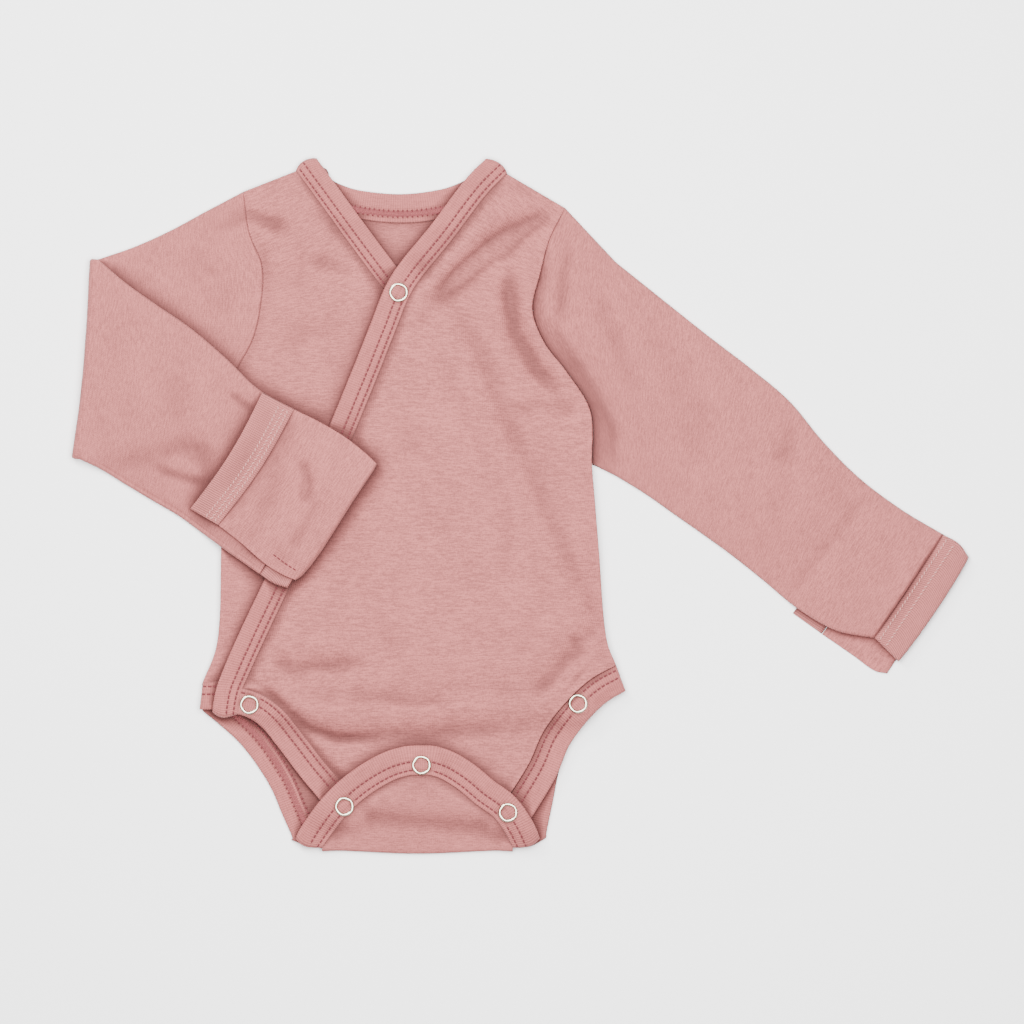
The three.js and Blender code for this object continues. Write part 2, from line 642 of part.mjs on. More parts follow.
// A straight sleeve: rings laid on the pile.
function laidSleeve(name, plan, levels, thickness, wallThickness, colour) {
  const rings = plan.map((points, i) => ringPoints(points, thickness[i], wallThickness));
  const place = (side) => rings.map((ringRow, i) => ringRow[side].map((p, k) => {
    const level = levels[i][acrossIndex(plan[i].length, k)];
    return new THREE.Vector3(p.x, p.y, level + p.height);
  }));
  tube(name, place('outer'), place('inner'), colour);
  return lift(plan, (i, j) => levels[i][j] + thickness[i][j]);
}

// The armhole's points as the body's panels have them, from underarm to shoulder, moved out.
function armhole(edge, out) {
  const points = [...edge].reverse();
  return points.map((p, k) => {
    const next = points[Math.min(k + 1, points.length - 1)];
    const ahead = next.clone().sub(points[Math.max(k - 1, 0)]).normalize();
    return p.clone().addScaledVector(cut(ahead.y, -ahead.x), out * GAP);
  });
}

// How far along a line each of its points lies, from 0 to 1.
function sharesAlong(points) {
  const lengths = [0];
  for (let k = 1; k < points.length; k++) lengths.push(lengths[k - 1] + points[k].distanceTo(points[k - 1]));
  return lengths.map((length) => length / lengths[lengths.length - 1]);
}

// The first row of a sleeve's plan, on the armhole, with the extra points near its edges.
const ARMHOLE_INSET = 0.4;
function armholeRow(points) {
  const last = points.length - 1;
  const nearStart = points[0].clone().lerp(points[1], ARMHOLE_INSET);
  const nearEnd = points[last].clone().lerp(points[last - 1], ARMHOLE_INSET);
  return [points[0], nearStart, ...points.slice(1, -1), nearEnd, points[last]];
}

// The armhole takes up the first spans of the body's sections.
const ARMHOLE_SPANS = 7;
const ARMHOLE_ROWS = ARMHOLE_SPANS * BODY_STEPS;

// The right sleeve lies straight. Its mitten is folded back under the cuff, on the table.
const table = new Pile();
const MITTEN_STEPS = 2;
const MITTEN_SHARES = evenShares(8);
const mittenPlan = (sections) => ruled(sections, MITTEN_STEPS, MITTEN_SHARES);
const onTable = () => 0;
for (const [name, sections] of [['mitten_right', RIGHT_MITTEN], ['mitten_band_right', RIGHT_MITTEN_BAND]]) {
  const plan = mittenPlan(sections);
  const under = lift(plan, onTable);
  const over = lift(plan, () => CLOTH);
  wall(name, under, over, COLOURS.jersey);
  table.add(over);
}

const rightHole = armhole(rightEdge(backPlan).slice(0, ARMHOLE_ROWS + 1), 1);
const rightShares = ringShares(sharesAlong(rightHole));
const rightSleevePlan = [armholeRow(rightHole), ...ruled(RIGHT_SLEEVE, 1, rightShares)];
const rightThickness = sleeveThickness(rightSleevePlan, RIGHT_SLEEVE_FOLDS, RIGHT_SLEEVE_PUFF, CLOTH);
const rightLevels = lay(rightSleevePlan, table);
laidSleeve('sleeve_right', rightSleevePlan, rightLevels, rightThickness, CLOTH, COLOURS.jersey);
const rightCuffPlan = ruled(RIGHT_CUFF, 1, rightShares);
const rightCuffThickness = sleeveThickness(rightCuffPlan, [], RIGHT_CUFF_PUFF, HEM_WALL);
const rightCuffLevels = lay(rightCuffPlan, table);
laidSleeve('cuff_band_right', rightCuffPlan, rightCuffLevels, rightCuffThickness, HEM_WALL, COLOURS.rib);

// The left sleeve lies straight to the elbow, turns over there, and its forearm lies on top.
const leftHole = armhole(leftEdge(backPlan).slice(0, ARMHOLE_ROWS + 1), -1);
const leftShares = ringShares(sharesAlong(leftHole));
const upperPlan = [armholeRow(leftHole), ...ruled(LEFT_UPPER_SLEEVE, 1, leftShares)];
const upperThickness = sleeveThickness(upperPlan, [], LEFT_SLEEVE_PUFF, CLOTH);
pile.add(lift(upperPlan, (i, j) => upperThickness[i][j]));

const forearmPlan = ruled(LEFT_FOREARM, 1, leftShares);
const forearmThickness = sleeveThickness(forearmPlan, LEFT_SLEEVE_FOLDS, LEFT_SLEEVE_PUFF, CLOTH);
forearmThickness[0] = upperThickness[upperThickness.length - 1];
const forearmLevels = lay(forearmPlan, pile);
const leftCuffPlan = ruled(LEFT_CUFF, 1, leftShares);
const leftCuffLevels = lay(leftCuffPlan, pile);

const flatRings = (plan, thickness) => plan.map((points, i) => ringPoints(points, thickness[i], CLOTH));
const upperRings = flatRings(upperPlan, upperThickness);
const forearmRings = flatRings(forearmPlan, forearmThickness);
const elbow = forearmPlan[0];
const elbowLine = elbow[elbow.length - 1].clone().sub(elbow[0]).normalize();
const elbowOut = cut(-elbowLine.y, elbowLine.x);

// The left sleeve's outer or inner rings: flat to the elbow, round it, and back on top.
function leftSleeveSide(side) {
  const flat = upperRings.map((ringRow) => ringRow[side].map((p) => new THREE.Vector3(p.x, p.y, p.height)));
  const axisAt = (k) => {
    const j = acrossIndex(elbow.length, k);
    return (forearmThickness[0][j] + forearmLevels[0][j]) / 2;
  };
  const start = forearmRings[0][side];
  const turned = (angle) => start.map((p, k) => rounded(p, elbowOut, axisAt(k), p.height, angle));
  const turning = FOLD_ANGLES.map(turned);
  const over = forearmRings.map((ringRow, i) => ringRow[side].map((p, k) => {
    const j = acrossIndex(elbow.length, k);
    return new THREE.Vector3(p.x, p.y, forearmLevels[i][j] + forearmThickness[i][j] - p.height);
  }));
  return [...flat, ...turning, ...over];
}
tube('sleeve_left', leftSleeveSide('outer'), leftSleeveSide('inner'), COLOURS.jersey);
const leftCuffThickness = sleeveThickness(leftCuffPlan, [], LEFT_CUFF_PUFF, HEM_WALL);
const leftCuffTop =
  laidSleeve('cuff_band_left', leftCuffPlan, leftCuffLevels, leftCuffThickness, HEM_WALL, COLOURS.rib);
const END_CLEARANCE = 3;
const mittenLeftPlan = mittenPlan(LEFT_MITTEN);
const mittenEndRow = mittenLeftPlan[mittenLeftPlan.length - 1];
const mittenEndFloor = mittenEndRow.map((p) => pile.level(p.x, p.y, END_CLEARANCE));
pile.add(lift(forearmPlan, (i, j) => forearmLevels[i][j] + forearmThickness[i][j]));
pile.add(leftCuffTop);

// The left mitten is closed over the cuff: it lies on the sleeve and rounds down over its end.
const mittenEnd = mittenEndRow[mittenEndRow.length - 1].clone().sub(mittenEndRow[0]).normalize();
const mittenOut = cut(mittenEnd.y, -mittenEnd.x);
mittenEndRow.forEach((p, j) => {
  p.addScaledVector(mittenOut, MITTEN_END_BULGE * Math.sin(Math.PI * MITTEN_SHARES[j]));
});
const mittenLevels = lay(mittenLeftPlan, pile);
const mittenBandLeftPlan = mittenPlan(LEFT_MITTEN_BAND);
const mittenBandLevels = lay(mittenBandLeftPlan, pile);
const mittenUnder = lift(mittenLeftPlan, (i, j) => mittenLevels[i][j]);
const mittenOver = lift(mittenLeftPlan, (i, j) => mittenLevels[i][j] + CLOTH);
const endLevels = mittenLevels[mittenLevels.length - 1];
const END_ANGLES = [...FOLD_ANGLES, Math.PI];
function aroundEnd(inset) {
  return END_ANGLES.map((angle) => mittenEndRow.map((p, j) => {
    const low = mittenEndFloor[j];
    const middle = (endLevels[j] + CLOTH + low) / 2;
    const tall = middle - low - inset;
    const reach = (END_REACH - inset) * Math.sin(angle);
    const z = middle + tall * Math.cos(angle);
    return new THREE.Vector3(p.x + mittenOut.x * reach, p.y + mittenOut.y * reach, z);
  }));
}
wall('mitten_left', [...mittenUnder, ...aroundEnd(CLOTH)], [...mittenOver, ...aroundEnd(0)], COLOURS.jersey);
const bandUnder = lift(mittenBandLeftPlan, (i, j) => mittenBandLevels[i][j]);
const bandOver = lift(mittenBandLeftPlan, (i, j) => mittenBandLevels[i][j] + HEM_WALL);
wall('mitten_band_left', bandUnder, bandOver, COLOURS.rib);

SNAPS.forEach(ring);

export default model;
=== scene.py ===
"""A newborn's long-sleeved wrap bodysuit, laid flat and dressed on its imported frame.

The tables are in millimetres, in the frame's own axes, and the meshes are in metres. Every
sewn piece is laid on a height map of what lies below it, in the order in which it was laid.
"""

from __future__ import annotations

import json
import logging
from collections.abc import Callable, Mapping, Sequence
from dataclasses import dataclass, field
from enum import Enum

import bpy
import numpy as np
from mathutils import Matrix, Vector

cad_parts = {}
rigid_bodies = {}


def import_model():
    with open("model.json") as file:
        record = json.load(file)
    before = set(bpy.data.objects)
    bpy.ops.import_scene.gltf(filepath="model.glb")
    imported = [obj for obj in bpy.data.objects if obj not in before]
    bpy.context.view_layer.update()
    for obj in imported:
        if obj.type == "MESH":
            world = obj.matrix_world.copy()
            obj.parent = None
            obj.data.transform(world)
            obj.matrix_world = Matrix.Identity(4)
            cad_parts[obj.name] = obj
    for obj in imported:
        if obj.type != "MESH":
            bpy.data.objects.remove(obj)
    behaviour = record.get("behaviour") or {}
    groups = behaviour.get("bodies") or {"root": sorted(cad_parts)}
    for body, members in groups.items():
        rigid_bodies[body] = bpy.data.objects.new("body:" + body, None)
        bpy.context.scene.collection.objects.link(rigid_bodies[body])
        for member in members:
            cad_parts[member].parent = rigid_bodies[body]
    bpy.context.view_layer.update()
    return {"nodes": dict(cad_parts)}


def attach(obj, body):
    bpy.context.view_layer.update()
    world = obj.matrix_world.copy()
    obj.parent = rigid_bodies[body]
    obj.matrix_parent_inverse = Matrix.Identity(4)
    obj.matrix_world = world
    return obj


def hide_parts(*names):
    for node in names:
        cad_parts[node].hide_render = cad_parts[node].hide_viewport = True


LOG = logging.getLogger("bodysuit")
MM = 0.001
CLOTH = 1.0
RIB = 1.9
HEM_WALL = 1.3
GAP = 0.3
SLACK = 0.6
TUCK = 1.5
SNAP_OUTER = 4.75
SNAP_INNER = 3.25
SNAP_RISE = 0.9
STUD_RADIUS = 3.5
STUD_HEIGHT = 1.4
BAND_BOW = 2.3
SEAM_DIP = 0.5
# Painted shade: cloth that lies below the cloth around it is darkened in its base colour, by this strength and rate, at
# these softening widths and depths in millimetres.
PAINTED_SHADE_STRENGTH = 0.85
PAINTED_SHADE_RATE = 1.0
PAINTED_SHADE_SCALES = ((1.0, 1.2), (2.6, 1.3), (5.0, 2.3))
MITTEN_END = ((0.0, 0.5), (0.05, 2.0), (0.14, 2.7), (0.27, 2.9), (0.45, 2.4), (0.68, 1.6), (0.95, 1.2), (1.0, 0.7))

Table = tuple[tuple[float, float, float, float], ...]
Line = tuple[tuple[float, float], ...]

# Each row of a table is a section of a panel: its left seam point, then its right one.
SHOULDER_LEFT = (-108.6, 162.2)
SHOULDER_RIGHT = (-6.3, 160.8)
BACK_NECK_DIP: Line = (
    (-101, 148.5), (-87, 141), (-72, 138), (-57.7, 137), (-44, 138), (-29, 141.2), (-14.8, 148.6),
)
BACK_BODY: Table = (
    (-134.2, 152.1, 21.8, 144.3),
    (-131.2, 132, 14.2, 129),
    (-125.0, 116, 9.6, 112),
    (-125.6, 98, 6.0, 95),
    (-129.4, 81, 11.8, 79),
    (-137.6, 65, 22.5, 65),
    (-144.3, 46, 34.0, 46),
    (-144.7, 34, 34.9, 20),
    (-144.9, 5, 36.3, 3),
    (-145.0, -22, 38.3, -22),
    (-147.2, -68, 42.3, -66),
    (-153.8, -85.5, 46.6, -77.4),
)
BACK_LEGS: Table = (
    (-153.8, -85.5, 46.6, -77.4),
    (-139.5, -96.5, 34.0, -84.5),
    (-127.5, -107.5, 22.2, -95.5),
    (-118.0, -119.7, 11.5, -109.5),
    (-110.3, -132.5, 5.5, -124.5),
    (-104.6, -146, 1.6, -142),
    (-99.5, -157.5, -1.5, -156),
    (-96.0, -166.1, -3.5, -166.1),
)
FLAP: Table = (
    (-96.0, -166.1, -3.5, -166.1),
    (-90.5, -158.5, -7.5, -158.5),
    (-85.5, -152, -12.8, -151.4),
    (-79.0, -145.3, -21.5, -145),
    (-69.9, -138.3, -30.1, -137.8),
    (-60.0, -132.9, -38.5, -132.6),
    (-53.0, -130.9, -44.0, -130.8),
)
UNDER_BODY: Table = (
    (-134.2, 152.1, -108.6, 162.2),
    (-131.2, 132, -97.5, 147),
    (-125.0, 116, -85.5, 130.5),
    (-125.6, 98, -66.8, 105.5),
    (-129.4, 81, -50.5, 85),
    (-137.6, 65, -40.0, 65),
    (-144.3, 46, -32.0, 46),
    (-144.7, 34, -26.5, 32),
    (-144.9, 5, -14.0, 5),
    (-145.0, -22, -2.5, -22),
    (-147.2, -68, 19.5, -68),
    (-153.8, -85.5, 28.0, -85.5),
)
OVER_BODY: Table = (
    (-6.3, 160.8, 21.8, 144.3),
    (-15.5, 151.5, 14.2, 129),
    (-33.0, 128.5, 9.6, 112),
    (-52.0, 104.2, 6.0, 95),
    (-60.5, 84, 11.8, 79),
    (-67.9, 65.2, 22.5, 65),
    (-75.5, 46.5, 34.0, 46),
    (-83.5, 27, 34.9, 20),
    (-92.5, 4.5, 36.3, 3),
    (-103.5, -22, 38.3, -22),
    (-124.6, -67, 42.3, -66),
    (-134.4, -88.6, 46.6, -77.4),
)
OVER_LEGS: Table = (
    (-134.4, -88.6, 46.6, -77.4),
    (-124.5, -92.0, 34.0, -84.5),
    (-115.4, -98.7, 22.2, -95.5),
    (-105.5, -110.6, 11.5, -109.5),
    (-95.6, -123.4, 4.6, -124.7),
    (-87.2, -133.3, -4.3, -139.2),
    (-81.0, -141.5, -10.5, -148.5),
)
WRAP_END: Line = ((-135.5, -92.0), (-136.4, -96.5), (-137.0, -101.2))
LEG_LEFT_START = (-136.6, -88.4)
ARMHOLE_SECTIONS = 8

# Sections across the sleeves, from the underarm edge to the overarm edge.
RIGHT_SLEEVE: Table = (
    (46.5, 14.3, 46.5, 118),
    (61, 5.4, 69, 100),
    (75, -4.5, 91, 82.5),
    (90, -15.0, 112, 66.4),
    (104, -25.2, 130.5, 50.8),
    (118, -36.4, 147, 31),
    (134, -49.6, 165, 13),
    (153.5, -60.8, 186, -2.6),
    (171.9, -64.3, 205.4, -14.1),
)
RIGHT_CUFF: Table = (
    (171.9, -64.3, 205.4, -14.1),
    (177.6, -69.9, 213.0, -18.6),
    (183.4, -75.6, 217.6, -25.0),
)
LEFT_UPPER_SLEEVE: Table = (
    (-160, 39.5, -152.5, 142.5),
    (-178, 34.8, -169.5, 133.3),
    (-196, 30.2, -186.5, 125.6),
    (-213.5, 22.4, -204.6, 119.3),
)
LEFT_FOREARM: Table = (
    (-213.5, 22.4, -204.6, 119.3),
    (-203.5, 17.6, -191.0, 107.8),
    (-191.5, 10.3, -176.5, 97.5),
    (-178.0, 2.2, -160.0, 86.2),
    (-166.0, -4.8, -143.0, 71.8),
    (-154.0, -13.5, -126.5, 56.2),
    (-141.0, -23.0, -105.5, 44.6),
    (-126.5, -33.2, -85.0, 32.5),
)
LEFT_CUFF: Table = (
    (-126.5, -33.2, -85.0, 32.5),
    (-119.5, -37.8, -78.5, 27.4),
    (-113.0, -40.0, -73.0, 22.6),
)
LEFT_MITTEN_BAND: Table = ((-160.0, -1.6, -125.2, 54.6), (-146.4, -9.4, -109.6, 46.6))
LEFT_MITTEN: Table = (
    (-146.4, -9.4, -109.6, 46.6),
    (-135.6, -18.0, -96.5, 40.2),
    (-123.0, -28.8, -84.0, 32.6),
    (-114.5, -33.9, -74.0, 24.6),
    (-109.4, -36.0, -69.9, 20.6),
)
RIGHT_MITTEN_BAND: Table = ((132.2, -52.2, 170.0, -2.4), (146.3, -62.2, 184.0, -11.0))
RIGHT_MITTEN: Table = (
    (146.5, -62.4, 184.2, -11.2),
    (161.0, -72.4, 199.0, -19.0),
    (172.5, -80.4, 208.0, -24.5),
    (178.0, -81.4, 213.0, -29.0),
)
SNAPS: dict[str, tuple[float, float]] = {
    "neck": (-58.9, 103.4),
    "hip_left": (-131.3, -96.6),
    "hip_right": (28.1, -96.1),
    "flap_left": (-85.2, -146.0),
    "flap_top": (-47.8, -125.9),
    "flap_right": (-5.8, -148.9),
}


@dataclass(frozen=True)
class Crease:
    """A soft ridge or hollow along a bent line, in millimetres.

    Args:
        points: the line's corners.
        width: how far it spreads to each side.
        lift: how high it lifts the cloth, or sinks it where negative.
    """

    points: Line
    width: float
    lift: float

    def height(self, x: np.ndarray, y: np.ndarray) -> np.ndarray:
        """Height that the crease adds at each point.

        Args:
            x: the points' x.
            y: the points' y.

        Returns:
            The height in millimetres.
        """
        nearest = np.full(x.shape, np.inf)
        along = np.zeros(x.shape)
        travelled = 0.0
        for (x1, y1), (x2, y2) in zip(self.points, self.points[1:]):
            dx, dy = x2 - x1, y2 - y1
            length = float(np.hypot(dx, dy))
            share = np.clip(((x - x1) * dx + (y - y1) * dy) / length**2, 0, 1)
            away = np.hypot(x - x1 - share * dx, y - y1 - share * dy)
            along = np.where(away < nearest, travelled + share * length, along)
            nearest = np.minimum(nearest, away)
            travelled += length
        fade = ease(np.minimum(along, travelled - along) / (0.3 * travelled))
        return self.lift * (0.12 + 0.88 * fade) * np.exp(-((nearest / self.width) ** 2))


FRONT_CREASES = (
    Crease(((14, 152), (-22, 135), (-55, 106)), 7, 1.2),
    Crease(((34, 151), (17, 143), (-4, 131.5), (-16, 124), (-30, 111), (-46, 92)), 6.4, -3.4),
    Crease(((10, 134), (-14, 120), (-38, 104), (-60, 84)), 8, -1.8),
    Crease(((-5, 124), (-5.5, 104), (-2.5, 84), (8, 66), (24, 48)), 5.2, -3.1),
    Crease(((5, 118), (4.5, 96), (6, 86), (15, 72), (32, 48)), 3.4, 1.8),
    Crease(((-6, 46), (12, 49), (32, 45)), 5, -1.0),
    Crease(((-132, -71), (-110, -79), (-70, -76)), 5, -1.7),
    Crease(((-125, -64), (-105, -69), (-80, -68)), 7, 0.8),
    Crease(((-90, -90), (-50, -96), (-30, -95)), 5, -0.9),
    Crease(
        ((-138, -78), (-121, -92), (-112, -101), (-104, -108), (-89, -113), (-74, -112.6), (-62, -111)), 3.0, -2.5
    ),
    Crease(((-70, -113), (-60, -112), (-45, -113), (-33, -110), (-4, -109)), 4.5, -0.9),
    Crease(((-120, -88), (-98, -102), (-80, -105), (-30, -103)), 6, 1.4),
    Crease(((40, -66), (23, -74), (6, -94)), 4.5, -1.4),
    Crease(((46, -71), (32, -79), (23.5, -88), (14, -100)), 2.6, -1.1),
    Crease(((24, -50), (13, -68), (2, -86)), 8, 0.9),
    Crease(((40, -59), (22, -68)), 4, -1.3),
    Crease(((30, 30), (31, -10), (33, -40)), 8, 0.6),
)
UNDER_CREASES = (
    Crease(((-146, 144), (-132, 141), (-122, 137.5), (-110, 133.5)), 4.6, -2.3),
    Crease(((-104, 120), (-88, 116.5), (-76, 111)), 5, -1.2),
    Crease(((-125, 122), (-104, 120)), 8, 0.9),
    Crease(((-143, -10), (-142, -60)), 8, 0.7),
    Crease(((-120, 98), (-90, 92)), 10, 0.6),
    Crease(((-122, 72), (-104, 84), (-88, 88)), 6, -0.5),
)
RIGHT_SLEEVE_CREASES = (
    Crease(((6, 98), (20, 76), (33, 55), (43, 36), (43, 2)), 5.5, -2.6),
    Crease(((26, 136), (20, 112), (18, 84)), 4.2, -2.2),
    Crease(((31, 112), (33, 90), (44, 66)), 6, 1.0),
    Crease(((44, 92), (52, 70), (54, 52)), 7, -0.7),
    Crease(((50, 92), (64, 60), (66, 30)), 10, 1.0),
    Crease(((137, 44), (130, 30), (122, 18)), 6, -1.1),
    Crease(((150, 22), (140, 0), (128, -20)), 9, 0.9),
    Crease(((90, 60), (86, 35), (84, 10)), 9, -0.8),
    Crease(((176, 0), (168, -22), (160, -40)), 8, 0.7),
)
LEFT_SLEEVE_CREASES = (
    Crease(((-142, 56), (-134, 50), (-126, 43)), 2.4, -1.5),
    Crease(((-136, 58), (-127, 50)), 4.0, 0.7),
    Crease(((-180, 19), (-163, 13.5), (-146, 9)), 2.6, -1.4),
    Crease(((-173, 22), (-152, 16)), 5, 0.6),
    Crease(((-190, 90), (-184, 60), (-178, 30)), 9, 0.8),
    Crease(((-160, 70), (-164, 45), (-166, 20)), 8, -0.7),
)
UPPER_SLEEVE_CREASES = (
    Crease(((-165, 130), (-150, 112), (-137, 90)), 9, -0.8),
    Crease(((-150, 134), (-138, 118)), 8, 0.7),
)
MITTEN_CREASES = (
    Crease(((-107, 26), (-103, 12), (-105, -2)), 4.0, -1.6),
    Crease(((-98, 26), (-92, 12), (-92, 0)), 6, 0.7),
    Crease(((-121, -12), (-112, -22), (-100, -29)), 3.0, 0.7),
)


class Slot(Enum):
    """The record's material slots."""

    JERSEY = "jersey"
    RIB = "rib"
    CUFF_RIB = "cuff_rib"
    METAL = "snap_metal"


class Held(Enum):
    """How a sheet of cloth lies."""

    LAID = "laid"
    FOLDED = "folded"


class Shade:
    """A shader socket, wrapped so that maths on it reads as Python."""

    def __init__(self, graph: Graph, socket: bpy.types.NodeSocket) -> None:
        """Wraps a socket of a graph.

        Args:
            graph: the material's nodes.
            socket: the output socket.
        """
        self.graph = graph
        self.socket = socket

    def _math(self, operation: str, first: Shade | float, second: Shade | float) -> Shade:
        """A Math node on two values."""
        return self.graph.node("ShaderNodeMath", {"operation": operation}, {0: first, 1: second})

    def __add__(self, other: Shade | float) -> Shade:
        """Sum of this and another."""
        return self._math("ADD", self, other)

    def __radd__(self, other: float) -> Shade:
        """Sum of a number and this."""
        return self._math("ADD", other, self)

    def __sub__(self, other: Shade | float) -> Shade:
        """This less another."""
        return self._math("SUBTRACT", self, other)

    def __rsub__(self, other: float) -> Shade:
        """A number less this."""
        return self._math("SUBTRACT", other, self)

    def __mul__(self, other: Shade | float) -> Shade:
        """Product of this and another."""
        return self._math("MULTIPLY", self, other)

    def __rmul__(self, other: float) -> Shade:
        """Product of a number and this."""
        return self._math("MULTIPLY", other, self)

    def sine(self) -> Shade:
        """Sine of this."""
        return self._math("SINE", self, 0.0)

    def size(self) -> Shade:
        """Absolute value of this."""
        return self._math("ABSOLUTE", self, 0.0)


class Graph:
    """The nodes of one material."""

    def __init__(self, name: str) -> None:
        """Starts an empty node tree.

        Args:
            name: the material's name.
        """
        self.material = bpy.data.materials.new(name)
        self.material.use_nodes = True
        self.tree = self.material.node_tree
        self.tree.nodes.clear()

    def node(
        self,
        kind: str,
        settings: Mapping[str, object] | None = None,
        sockets: Mapping[int | str, object] | None = None,
        output: int | str = 0,
    ) -> Shade:
        """Adds a node.

        Args:
            kind: the node's type.
            settings: its properties, which are set first.
            sockets: values or links of its inputs.
            output: which output to return.

        Returns:
            The output, wrapped.
        """
        made = self.tree.nodes.new(kind)
        for key, value in (settings or {}).items():
            setattr(made, key, value)
        for key, value in (sockets or {}).items():
            if isinstance(value, Shade):
                self.tree.links.new(value.socket, made.inputs[key])
            else:
                made.inputs[key].default_value = value
        return Shade(self, made.outputs[output])

    def cloth(self) -> Shade:
        """Millimetres across and along the cloth, as a vector."""
        return self.node("ShaderNodeAttribute", {"attribute_name": "cloth"}, output="Vector")

    def hollow(self) -> Shade:
        """How much painted shade the cloth gets where it lies in a hollow or a sewn groove, from 0 to 1."""
        return self.node("ShaderNodeAttribute", {"attribute_name": "hollow"}, output="Fac")

    def part(self, vector: Shade, axis: str) -> Shade:
        """One coordinate of a vector."""
        return self.node("ShaderNodeSeparateXYZ", None, {0: vector}, axis)

    def noise(self, vector: Shade, stretch: Sequence[float], detail: float) -> Shade:
        """Soft noise from about -0.5 to 0.5.

        Args:
            vector: where it is read.
            stretch: spots per millimetre on each axis.
            detail: how many finer layers it has.

        Returns:
            The noise.
        """
        scaled = self.node("ShaderNodeVectorMath", {"operation": "MULTIPLY"}, {0: vector, 1: stretch})
        sockets = {"Vector": scaled, "Scale": 1.0, "Detail": detail, "Roughness": 0.6}
        return self.node("ShaderNodeTexNoise", None, sockets, "Fac") - 0.5

    def blend(self, share: Shade, first: Shade | Sequence[float], second: Sequence[float]) -> Shade:
        """A colour between two.

        Args:
            share: 0 for the first, 1 for the second.
            first: a linear colour or a colour socket.
            second: a linear colour.

        Returns:
            The colour.
        """
        start = first if isinstance(first, Shade) else (*first, 1.0)
        settings = {"data_type": "RGBA", "clamp_factor": True}
        return self.node("ShaderNodeMix", settings, {0: share, 6: start, 7: (*second, 1.0)}, 2)

    def finish(self, sockets: Mapping[str, object]) -> bpy.types.Material:
        """Ends the tree in a shader and the output.

        Args:
            sockets: the shader's values and links.

        Returns:
            The material.
        """
        shader = self.node("ShaderNodeBsdfPrincipled", None, sockets, "BSDF")
        self.node_output(shader)
        return self.material

    def node_output(self, shader: Shade) -> None:
        """Links a shader to the material's output."""
        out = self.tree.nodes.new("ShaderNodeOutputMaterial")
        self.tree.links.new(shader.socket, out.inputs["Surface"])


def linear(colour: Sequence[float], brightness: float = 1.0) -> tuple[float, ...]:
    """Linear colour of a screen colour.

    Args:
        colour: red, green and blue from 0 to 255.
        brightness: a factor on the linear colour.

    Returns:
        The three linear values.
    """
    shares = (np.array(colour, float) / 255.0 + 0.055) / 1.055
    return tuple(float(v) for v in brightness * shares**2.4)


@dataclass(frozen=True)
class KnitFinish:
    """Heathered cotton knit, with its stitches in the bump, its flecks in the colour, and painted shade in its rib
    grooves and hollows.

    Args:
        name: the material's name.
        colour: screen colour of the cloth.
        wale: millimetres from rib to rib.
        course: millimetres from row to row.
        depth: depth of the ribs in millimetres.
        groove: how much darker the rib grooves are painted, as painted shade.
        fleck: strength of the heather.
    """

    name: str
    colour: tuple[float, float, float]
    wale: float
    course: float
    depth: float
    groove: float
    fleck: float

    def material(self) -> bpy.types.Material:
        """Makes the material.

        Returns:
            The material.
        """
        graph = Graph(self.name)
        cloth = graph.cloth()
        across = graph.part(cloth, "X")
        along = graph.part(cloth, "Y")
        turn = 2.0 * np.pi
        streak = graph.noise(cloth, (0.22, 1.5, 1.0), 3.0)
        fine = graph.noise(cloth, (1.1, 1.7, 1.0), 2.0)
        mottle = graph.noise(cloth, (0.045, 0.06, 1.0), 2.0)
        wobble = graph.noise(cloth, (0.3, 0.3, 1.0), 1.0)
        rib = (across * (turn / self.wale) + wobble * 1.4).sine()
        loop = (along * (turn / self.course) + wobble * 2.0).sine()
        tone = 0.5 + streak * self.fleck + fine * (0.9 * self.fleck) + mottle * 0.5
        # Painted shade: darker in the grooves between ribs and rows, lighter on the ribs.
        tone = tone + rib * self.groove + loop * (0.3 * self.groove)
        height = rib * 0.5 + loop * 0.18 + fine * 0.9 + streak * 0.3
        lit = graph.blend(tone, linear(self.colour, 0.74), linear(self.colour, 1.26))
        # Painted shade: the base colour goes towards a near-black copy of the cloth where it lies in hollows and sewn
        # grooves.
        painted_shade = graph.hollow() * PAINTED_SHADE_STRENGTH
        bump = graph.node(
            "ShaderNodeBump", None, {"Strength": 0.8, "Distance": self.depth * MM, "Height": height}
        )
        return graph.finish(
            {
                "Base Color": graph.blend(painted_shade, lit, linear(self.colour, 0.16)),
                "Roughness": 0.86 + fine * 0.2,
                "Specular IOR Level": 0.2,
                "Sheen Weight": 0.14,
                "Sheen Roughness": 0.45,
                "Sheen Tint": (1.0, 0.8, 0.78, 1.0),
                "Normal": bump,
            }
        )


@dataclass(frozen=True)
class ThreadFinish:
    """Twisted sewing thread.

    Args:
        name: the material's name.
        colour: its screen colour.
    """

    name: str
    colour: tuple[float, float, float]

    def material(self) -> bpy.types.Material:
        """Makes the material.

        Returns:
            The material.
        """
        graph = Graph(self.name)
        cloth = graph.cloth()
        twist = (graph.part(cloth, "X") * 9.0 + graph.part(cloth, "Y") * 6.283).sine()
        fuzz = graph.noise(cloth, (2.0, 2.0, 2.0), 2.0)
        tone = 0.5 + twist * 0.25 + fuzz * 0.8
        bump = graph.node(
            "ShaderNodeBump", None, {"Strength": 0.7, "Distance": 0.06 * MM, "Height": twist + fuzz}
        )
        return graph.finish(
            {
                "Base Color": graph.blend(tone, linear(self.colour, 0.75), linear(self.colour, 1.2)),
                "Roughness": 0.62 + fuzz * 0.2,
                "Sheen Weight": 0.04,
                "Specular IOR Level": 0.15,
                "Normal": bump,
            }
        )


